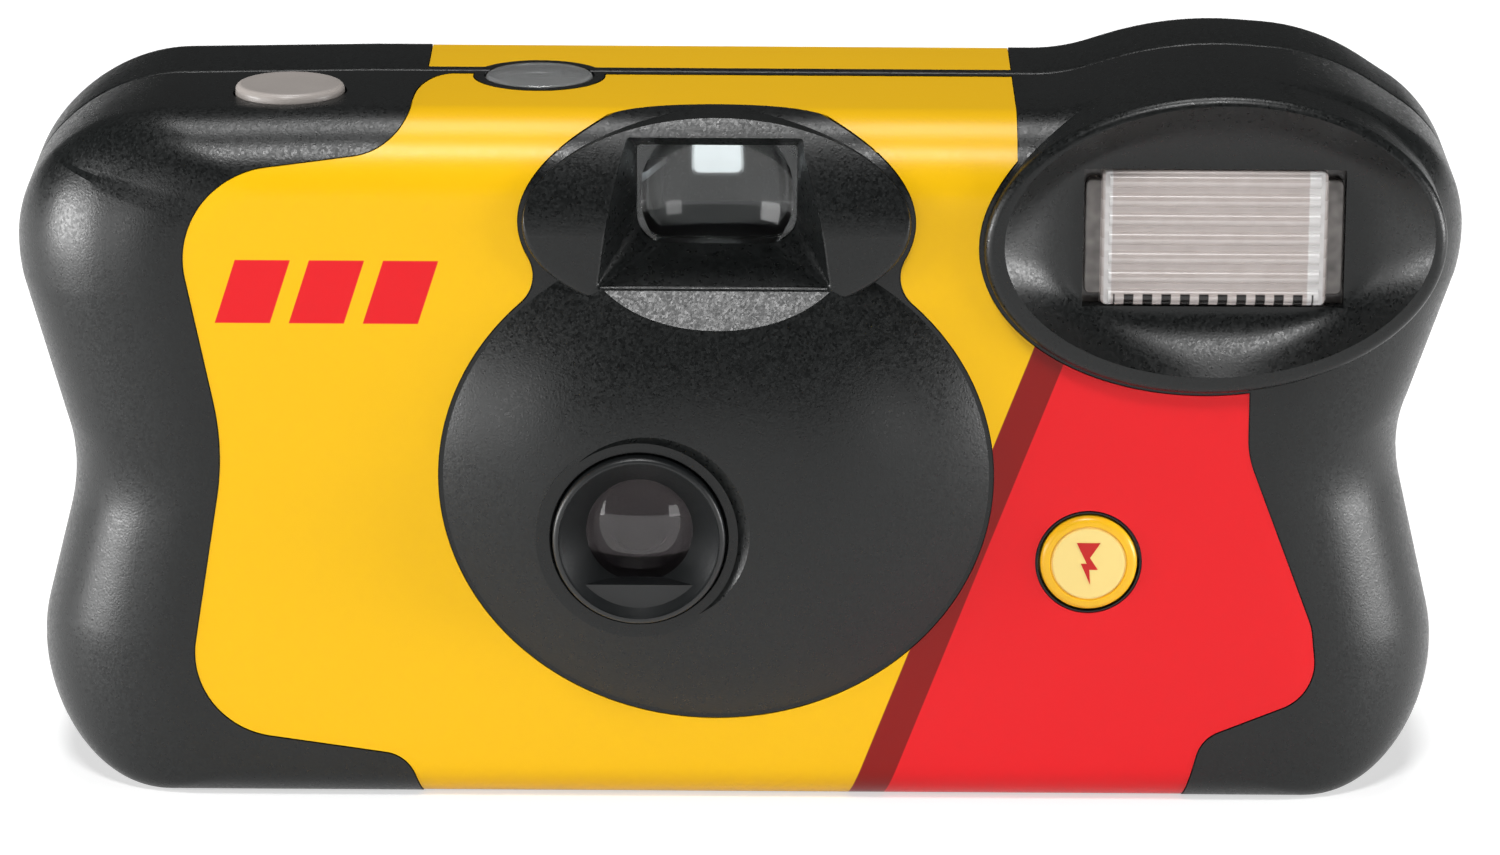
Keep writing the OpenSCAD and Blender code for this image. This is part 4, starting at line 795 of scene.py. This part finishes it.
def lens_ring():
    """Ring that holds the lens: a cone down to the lens, with a flat ledge below it."""
    back, soft, flange_r = PLATE_Y - 0.05, 0.35, LENS_RING_R + 0.6
    throat, mouth, seat_r, seat_depth = LENS_R - 0.75, LENS_RING_R - 0.45, LENS_R + 0.08, 2.6
    ledge_w, ledge_top = 6, LENS_Z - LENS_R + 0.7
    flange = [(flange_r, back), (flange_r, PLATE_Y - 1), (LENS_RING_R, PLATE_Y - 1)]
    rim = [(LENS_RING_R - inset, RING_FRONT_Y + drop) for inset, drop in round_edge(soft, 7)]
    ring = turned_y(flange + rim, LENS_X, LENS_Z)
    cone = turned_y([(throat, PLATE_Y - 2), (mouth - 0.15, RING_FRONT_Y + 0.3),
                     (mouth, RING_FRONT_Y + 0.08), (mouth + 0.1, RING_FRONT_Y - 1)], LENS_X, LENS_Z)
    ledge = block(LENS_X - ledge_w, LENS_X + ledge_w, RING_FRONT_Y + 1, PLATE_Y, LENS_Z - 8, ledge_top)
    return cut(ring, hole_y(seat_r, PLATE_Y - seat_depth, PLATE_Y + 1, LENS_X, LENS_Z), cut(cone, ledge))


def taking_lens():
    ball, middle_y = 9.0, PLATE_Y + 6.1
    angles = np.linspace(math.asin(LENS_R / ball), 0.004, 28)
    crown = [(ball * math.sin(t), middle_y - ball * math.cos(t)) for t in angles]
    return turned_y([(LENS_R, PLATE_Y)] + crown, LENS_X, LENS_Z)


GLOSS_BLACK = moulded("lens_ring_plastic", "17191a", 0.38, 0.3, 0.006, 0.5)
piece("lens_ring", lens_ring(), GLOSS_BLACK, stands_for=["lens_retainer"])
piece("lens_meniscus", taking_lens(), FINISHES["lens_plastic"], stands_for=["taking_lens"])


# Viewfinder and windows

def finder_lens():
    """Front lens of the viewfinder, with a round hollow in its face."""
    w, h, y, low = FINDER_W + 0.8, FINDER_H + 0.8, FINDER_Y + 0.2, FINDER_Z - FINDER_H / 2 - 0.4
    left, right, low_r, r, soft = FINDER_X - w / 2, FINDER_X + w / 2, 2.2, 0.4, 0.2
    plate = soft_slab([(left, low, low_r), (right, low, low_r), (right, low + h, r), (left, low + h, r)],
                      y, y + 3, soft)
    ball, middle_y = 11.0, FINDER_Y - 8.9
    angles = np.linspace(0.004, 0.66, 40)
    hollow = [(ball * math.sin(t), middle_y + ball * math.cos(t)) for t in angles]
    return cut(plate, turned_y(hollow, FINDER_X, FINDER_Z))


def eyepiece():
    """Rear lens of the viewfinder, with a flange inside the cover."""
    front, back, flange_out = IN_REAR - 2, REAR_Y - 0.4, 0.6

    def line(g):
        return soft_box(EYE_W + 2 * g, EYE_H + 2 * g, FINDER_X, FINDER_Z)

    edge = [(-0.3, back), (-0.08, back - 0.08), (0, back - 0.3), (0, front)]
    body = loft("eyepiece", [at_y(line(g), y) for g, y in edge])
    return join(body, prism(line(flange_out), IN_REAR - 1.4, IN_REAR - 0.2))


def counter_window():
    """Crowned window over the counter wheel, with a flange under the covers."""
    r, base, soft, bulge, stand = WINDOW_R, IN_TOP - 1, 0.4, 0.1, 1.1
    top, flange_r, flange_top = base + WALL + stand, r + 0.7, base + 0.9
    flange = [(flange_r, base), (flange_r, flange_top), (r, flange_top)]
    edge = [(r - inset, top - drop) for inset, drop in round_edge(soft, 6)]
    crown = [(k, top + bulge * (1 - (k / (r - soft)) ** 2)) for k in np.linspace(r - 0.6, 0.05, 14)]
    return turned_z(flange + edge + crown, WINDOW_X, WINDOW_Y)


CLEAR = FINISHES["clear_plastic"]
piece("finder_front_lens", finder_lens(), CLEAR, stands_for=["finder_lens"])
piece("finder_rear_lens", eyepiece(), CLEAR, stands_for=["finder_eyepiece"])
piece("counter_window_lens", counter_window(), FINISHES["window_plastic"],
      stands_for=["counter_window"])


# Buttons

def capsule(a, b, ra, rb):
    """Outline round two circles, seen from above."""
    gap, steps = Vector(b) - Vector(a), 40
    heading, half = math.atan2(gap.y, gap.x), math.acos((ra - rb) / gap.length)

    def arc(middle, r, start, end):
        angles = np.linspace(start, end, steps)
        return [(middle[0] + r * math.cos(t), middle[1] + r * math.sin(t)) for t in angles]

    far = arc(b, rb, heading - half, heading + half)
    return np.array(far + arc(a, ra, heading + half, heading + 2 * math.pi - half))


def shutter_button():
    """Button with a dished top, its flange, and the arm and leg that reach the latch lever."""
    flange, crown, soft, r, dip = IN_TOP - 2.0, BODY_H + 0.6, 0.5, SHUTTER_R, 0.1
    flange_r, flange_top = r + 1.2, flange + 1.4
    rim = [(flange_r, flange), (flange_r, flange_top), (r, flange_top)]
    edge = [(r - inset, crown - drop) for inset, drop in round_edge(soft, 9)]
    top = [(k, crown - dip * (1 - (k / (r - soft)) ** 2)) for k in np.linspace(r - soft - 0.3, 0.05, 8)]
    cap = turned_z(rim + edge + top, SHUTTER_X, SHUTTER_Y)
    foot_x, foot_y, foot_z, arm_z, arm_t, leg_x, leg_y = -25.8, -7.7, 44.4, flange - 0.3, 0.9, 0.8, 1.1
    arm_line = capsule((SHUTTER_X, SHUTTER_Y), (foot_x, foot_y), 2.4, 1.1)
    arm = loft("arm", [at_z(arm_line, z) for z in (arm_z, arm_z + arm_t)])
    leg = block(foot_x - leg_x, foot_x + leg_x, foot_y - leg_y, foot_y + leg_y, foot_z, arm_z + 0.5)
    return join(cap, arm, leg)


def flash_button():
    """Round button with a ring groove in its face, a flange and a stem."""
    r, soft, back, flange_r, stem_r = FLASH_BUTTON_R, 0.5, IN_FRONT + 2.6, FLASH_BUTTON_R + 1.1, 1.6
    front, flange_rear, flange_front, groove, slant = back - WALL - 3, back - 1.4, back - 2.4, 0.12, 0.06
    stem = [(stem_r, back), (stem_r, flange_rear), (flange_r, flange_rear), (flange_r, flange_front),
            (r, flange_front)]
    edge = [(r - inset, front + drop) for inset, drop in round_edge(soft, 7)]
    face = [(FLASH_DISC_R + 2 * slant, front - 0.02), (FLASH_DISC_R + slant, front + groove),
            (FLASH_DISC_R - slant, front + groove), (FLASH_DISC_R - 2 * slant, front - 0.04),
            (1.6, front - 0.1), (0.05, front - 0.14)]
    return turned_y(stem + edge + face, FLASH_BUTTON_X, FLASH_BUTTON_Z)


def flash_sign():
    """Plain zigzag flash sign on the button's face."""
    zigzag = [(-1.15, 2.05), (-0.2, 0.05), (-0.75, 0.05), (0.15, -2.0), (0.05, -0.55), (0.85, -0.55),
              (0.1, 0.6), (1.05, 2.05)]
    size, front = 0.86, IN_FRONT - WALL - 0.4
    line = np.array(zigzag) * size + (FLASH_BUTTON_X, FLASH_BUTTON_Z)
    return prism(line, front - 0.15, front + 0.05)


def button_face():
    """Yellow button whose inner disc is paler."""
    finish = Finish("flash_button_face", Specular_IOR_Level=0.5)
    soft, tone_size, roughness, uneven = 0.3, 0.5, 0.3, 0.08
    x, _, z = finish.axes()
    across, up = x - FLASH_BUTTON_X, z - FLASH_BUTTON_Z
    disc = (FLASH_DISC_R ** 2 - (across * across + up * up)).step(soft)
    tone = finish.term.noise(finish.place, tone_size, 2.0)
    finish.drive(Base_Color=disc.mix(linear("f9bf1c"), linear("fce08a")),
                 Roughness=roughness + uneven * (tone - 0.5))
    finish.relief(tone, 0.003)
    return finish.material


SIGN_RED = moulded("sign_red", "c8201c", 0.4, 0.4, 0.003, 0.4)
piece("shutter_button_cap", shutter_button(), FINISHES["button_grey"], "shutter_release",
      ["shutter_button"])
piece("flash_button_cap", flash_button(), button_face(), "flash_switch", ["flash_button"])
piece("flash_sign", flash_sign(), SIGN_RED, "flash_switch")


# Repeated forms by geometry nodes

def node_tree(name, inputs):
    """A geometry tree with named inputs; gives the tree, its first term and the inputs as terms."""
    tree = bpy.data.node_groups.new(name, "GeometryNodeTree")
    tree.interface.new_socket("Geometry", in_out="INPUT", socket_type="NodeSocketGeometry")
    for title, kind in inputs.items():
        tree.interface.new_socket(title, in_out="INPUT", socket_type=kind)
    tree.interface.new_socket("Geometry", in_out="OUTPUT", socket_type="NodeSocketGeometry")
    entry = tree.nodes.new("NodeGroupInput")
    return tree, Term(tree), {s.name: Term(tree, s) for s in entry.outputs if s.name}


def close_tree(term, geometry, finish):
    """Ends a tree in realised instances with one material."""
    real = term.make("GeometryNodeRealizeInstances", None, {0: geometry})
    dressed = term.make("GeometryNodeSetMaterial", None, {0: real, "Material": finish})
    term.make("NodeGroupOutput", None, {0: dressed})


def grow_by(solid, tree, values):
    """Runs a tree on a solid with its named inputs set, and keeps the plain mesh."""
    step = solid.modifiers.new(tree.name, "NODES")
    step.node_group = tree
    for socket in tree.interface.items_tree:
        if socket.in_out == "INPUT" and socket.name in values:
            step[socket.identifier] = values[socket.name]
    return evaluated(solid)


def knurl_tree(finish):
    """Draws the rim in along equal grooves round the wheel's axis."""
    titles = ("Grooves", "Groove Depth", "Rim Radius", "Axis X", "Axis Y")
    tree, term, given = node_tree("knurl", dict.fromkeys(titles, "NodeSocketFloat"))
    narrowness, rim_band, soft = 3.0, 0.7, 0.2
    place = term.make("GeometryNodeInputPosition")
    parts = term.make("ShaderNodeSeparateXYZ", None, {0: place}).socket.node.outputs
    x, y = Term(tree, parts[0]) - given["Axis X"], Term(tree, parts[1]) - given["Axis Y"]
    radius = term.math("SQRT", x * x + y * y)
    wave = term.math("COSINE", term.math("ARCTAN2", y, x) * given["Grooves"])
    notch = term.math("POWER", (wave + 1.0) * 0.5, narrowness)
    at_rim = (radius - given["Rim Radius"] + rim_band).step(soft)
    pull = notch * given["Groove Depth"] * at_rim / radius
    shift = term.make("ShaderNodeCombineXYZ", None, {0: -1.0 * x * pull, 1: -1.0 * y * pull})
    moved = term.make("GeometryNodeSetPosition", None, {0: given["Geometry"], "Offset": shift})
    close_tree(term, moved, finish)
    return tree


def winding_wheel():
    """Knurled wheel with a hub, and a socket with a key for the cartridge spool."""
    r, t, soft, groove, key_w = WHEEL_R, WHEEL_T, 0.5, 0.45, 0.7
    hub_h, socket_r, socket_h, key_reach = 1.1, SPOOL_R + 0.2, 2.2, SPOOL_R + 1
    low = [(r - soft * math.sin(a), soft * (1 - math.cos(a))) for a in np.linspace(math.pi / 2, 0, 5)]
    high = [(r, t / 2)] + [(radius, t - rise) for radius, rise in low[::-1]]
    rim = [(radius, WHEEL_Z + rise) for radius, rise in low + high]
    hub = [(HUB_R, WHEEL_Z - hub_h), (HUB_R, WHEEL_Z)]
    wheel = turned_z(hub + rim + [(2.0, WHEEL_Z + t)], CART_X, CART_Y, WHEEL_GROOVES * 12)
    grow_by(wheel, knurl_tree(COVER), {"Grooves": float(WHEEL_GROOVES), "Groove Depth": groove,
                                       "Rim Radius": r, "Axis X": CART_X, "Axis Y": CART_Y})
    socket = turned_z([(socket_r, WHEEL_Z - 2), (socket_r, WHEEL_Z + socket_h)], CART_X, CART_Y)
    key = block(CART_X - key_w, CART_X + key_w, CART_Y - key_reach, CART_Y + key_reach,
                WHEEL_Z + 0.1, WHEEL_Z + 3)
    return cut(wheel, cut(socket, key))


def rib_tree(finish):
    """A row of round ribs, one above the other."""
    tree, term, given = node_tree("ribs", {"Count": "NodeSocketInt", "Pitch": "NodeSocketFloat",
                                           "Rib Radius": "NodeSocketFloat", "Length": "NodeSocketFloat",
                                           "Start": "NodeSocketVector"})
    pitch = term.make("ShaderNodeCombineXYZ", None, {2: given["Pitch"]})
    row = term.make("GeometryNodeMeshLine", {"mode": "OFFSET", "count_mode": "TOTAL"},
                    {"Count": given["Count"], "Start Location": given["Start"], "Offset": pitch})
    rib = term.make("GeometryNodeMeshCylinder", {"fill_type": "NGON"},
                    {"Vertices": 32, "Radius": given["Rib Radius"], "Depth": given["Length"]})
    laid = term.make("GeometryNodeTransform", None, {0: rib, "Rotation": (0, math.pi / 2, 0)})
    ribs = term.make("GeometryNodeInstanceOnPoints", None, {"Points": row, "Instance": laid})
    close_tree(term, ribs, finish)
    return tree


def flash_window_lens(finish):
    """Clear flash cover: framed plate with ribs, side clips and a rear flange."""
    x, y, z, w, h = FLASH_LENS_X, FLASH_LENS_Y, FLASH_LENS_Z, FLASH_LENS_W, FLASH_LENS_H
    corner_r, rib_r, pitch = 0.5, 0.6, h / FLASH_RIBS

    def sheet(dw, dh, y0, y1, soft):
        corners = box_corners(x - w / 2 - dw, x + w / 2 + dw, z - h / 2 - dh, z + h / 2 + dh, corner_r)
        return soft_slab(corners, y0, y1, soft)

    plate = join(sheet(0, 0, y, y + 1.4, 0.25), sheet(1.3, -0.8, y + 0.5, y + 2.2, 0.15),
                 sheet(2.2, 0.8, y + 1.7, y + 2.3, 0.1))
    row = block(x, x + 1, y, y + 1, z, z + 1)
    grow_by(row, rib_tree(finish), {"Count": FLASH_RIBS, "Pitch": pitch, "Rib Radius": rib_r,
                                    "Length": w - 1.2, "Start": (x, y + 0.2, z - h / 2 + pitch / 2)})
    return join(plate, row)


def flash_cover_finish():
    """Milky ribbed cover with painted light: painted highlights as bright lines along its side edges and a
    thick bright bar at its right, painted light and shade across its ribs, and painted shade in the slots
    along its foot and on its side clips.
    """
    finish = Finish("flash_cover_clear", Transmission_Weight=0.3, IOR=1.49, Specular_IOR_Level=0.5)
    half, soft, slot_pitch, slot_w, slot_h, line_size = FLASH_LENS_W / 2, 0.1, 1.5, 0.36, 1.0, 1.1
    bar_from, bar_to, edge_highlight_at, edge_highlight_w = half - 1.5, half - 0.3, half - 0.55, 0.3
    x, _, z = finish.axes()
    across, up = x - FLASH_LENS_X, z - FLASH_LENS_Z
    # Painted highlight: a thick bright bar near the right edge of the cover
    bar = (across - bar_from).step(soft) * (bar_to - across).step(soft)
    # Painted shade: dark slots along the foot of the cover, where the plate itself is whole
    foot = (-FLASH_LENS_H / 2 + slot_h - up).step(soft)
    comb = finish.term.math("PINGPONG", across, slot_pitch / 2)
    slot_shade = foot * (comb - slot_w).step(0.08) * (half - 1.0 - abs(across)).step(soft)
    # Painted light and shade across the ribs: bands at the rib pitch, darkest just above each rib's middle
    # and lightest just below it
    rib_shade = finish.term.math("FRACT", up * (FLASH_RIBS / FLASH_LENS_H) + 10.0)
    # Painted shade on the side clips, which sit in the narrow gaps beside the cover
    clip = (abs(across) - half - 0.05).step(soft)
    # Painted highlights: bright lines just inside both side edges
    edge_highlight = (edge_highlight_w - abs(abs(across) - edge_highlight_at)).step(soft)
    line = finish.term.noise(finish.place, line_size, 1.0)
    # Milky tone carrying the painted rib light and shade, mixed with random cloudiness
    milk_and_rib_shade = (rib_shade * 0.6 + line * 0.4).mix(linear("c9bcb7"), linear("f3ebe8"))
    bright = finish.term.math("MAXIMUM", bar, edge_highlight)
    clip_shade = line.mix(linear("4a4745"), linear("a8a29e"))
    # Milky tone, then the painted highlights in near white, then the painted shade on the side clips
    body = clip.mix(bright.mix(milk_and_rib_shade, linear("fdfbfa")), clip_shade)
    # The painted slot shade goes over everything else
    finish.drive(Base_Color=slot_shade.mix(body, linear("2a2827")), Roughness=0.16 + 0.1 * line)
    return finish.material


FLASH_CLEAR = flash_cover_finish()
piece("winding_wheel_knurled", winding_wheel(), COVER, "winder", ["winding_wheel"])
piece("flash_cover_lens", flash_window_lens(FLASH_CLEAR), FLASH_CLEAR,
      stands_for=["flash_lens"])


# Numbers on the counter wheel

def counter_numbers():
    """Numbers of pictures left, round the top of the counter wheel."""
    pictures, every, size, ink, ring_r, step = 27, 3, 1.7, 0.03, 5.2, 9.0
    solids = []
    for k in range(0, pictures + 1, every):
        text = bpy.data.curves.new("number", "FONT")
        text.body, text.size, text.extrude = str(k), size, ink
        text.align_x = text.align_y = "CENTER"
        holder = placed("number", text)
        mesh = bpy.data.meshes.new_from_object(holder.evaluated_get(bpy.context.evaluated_depsgraph_get()))
        bpy.data.objects.remove(holder)
        angle = math.radians(90 - k * step)
        middle = Matrix.Translation((COUNTER_X, COUNTER_Y, COUNTER_TOP + 0.02))
        turn = Matrix.Rotation(angle - math.pi / 2, 4, "Z")
        mesh.transform(middle @ turn @ Matrix.Translation((0, ring_r, 0)))
        solids.append(placed("number", mesh))
    return merged(solids)


NUMBER_INK = moulded("number_ink", "1c1c1e", 0.5, 0.3, 0.002)
piece("counter_numbers", counter_numbers(), NUMBER_INK, "counter")


# Stage, light and camera

def stage_floor():
    """Plain white floor that keeps the shadow."""
    finish = Finish("floor_white", Roughness=0.9, Specular_IOR_Level=0.1, Emission_Strength=1.0)
    half, low, thick, tone_size, white = 4000.0, -0.02, 1, 90.0, (0.57, 0.57, 0.57, 1)
    tone = finish.term.noise(finish.place, tone_size)
    path = finish.term.make("ShaderNodeLightPath").socket.node.outputs
    seen, mirrored, through = (Term(finish.tree, path[f"Is {ray} Ray"])
                               for ray in ("Camera", "Glossy", "Transmission"))
    glow = finish.term.math("ADD", seen + mirrored, through, clamp=True)
    finish.drive(Base_Color=tone.mix(linear("cfcfcf"), linear("d3d3d3")),
                 Emission_Color=glow.mix((0, 0, 0, 1), white))
    square = np.array([(-half, -half), (half, -half), (half, half), (-half, half)])
    floor = loft("floor", [at_z(square, low - thick), at_z(square, low)])
    floor.data.transform(Matrix.Scale(MM, 4))
    floor.data.materials.append(finish.material)


def lamp(name, kind, place, target, **values):
    light = bpy.data.lights.new(name, kind)
    for key, value in values.items():
        setattr(light, key, value)
    holder = placed(name, light)
    holder.location = Vector(place) * MM
    holder.rotation_euler = (Vector(target) - Vector(place)).to_track_quat("-Z", "Y").to_euler()


def studio():
    """Two broad suns, two small fills at the front and two low panels beside the grips."""
    world = bpy.data.worlds.new("studio")
    world.use_nodes = True
    background = world.node_tree.nodes["Background"].inputs
    background["Color"].default_value = (1, 1, 1, 1)
    background["Strength"].default_value = 0.06
    bpy.context.scene.world = world
    middle, panel = (0, 0, 30), {"shape": "RECTANGLE", "size": 0.2, "size_y": 0.1}
    lamp("key", "SUN", (-40, -400, 720), middle, energy=1.56, angle=math.radians(14))
    lamp("top_strip", "SUN", (0, 130, 700), middle, energy=1.2, angle=math.radians(24))
    lamp("left_fill", "AREA", (-380, -380, 60), middle, energy=0.38, shape="SQUARE", size=0.15)
    lamp("right_fill", "AREA", (300, -430, 40), middle, energy=0.14, shape="SQUARE", size=0.12)
    lamp("left_panel", "AREA", (-425, -90, 50), middle, energy=1.6, **panel)
    lamp("right_panel", "AREA", (425, -90, 50), middle, energy=1.4, **panel)


def camera():
    """Camera above the front, as in the photograph."""
    elevation, roll, away, aim = math.radians(16), math.radians(0.35), 600.0, Vector((0.9, 1.5, 27.45))
    lens = bpy.data.cameras.new("camera")
    lens.sensor_width, lens.lens, lens.clip_start = 36.0, 175.4, 0.01
    eye = placed("camera", lens)
    place = aim + Vector((0, -math.cos(elevation), math.sin(elevation))) * away
    eye.matrix_world = (Matrix.Translation(place * MM) @ Matrix.Rotation(math.pi / 2 - elevation, 4, "X")
                        @ Matrix.Rotation(roll, 4, "Z"))
    bpy.context.scene.camera = eye


stage_floor()
studio()
camera()
bpy.context.scene.view_settings.view_transform = "Standard"
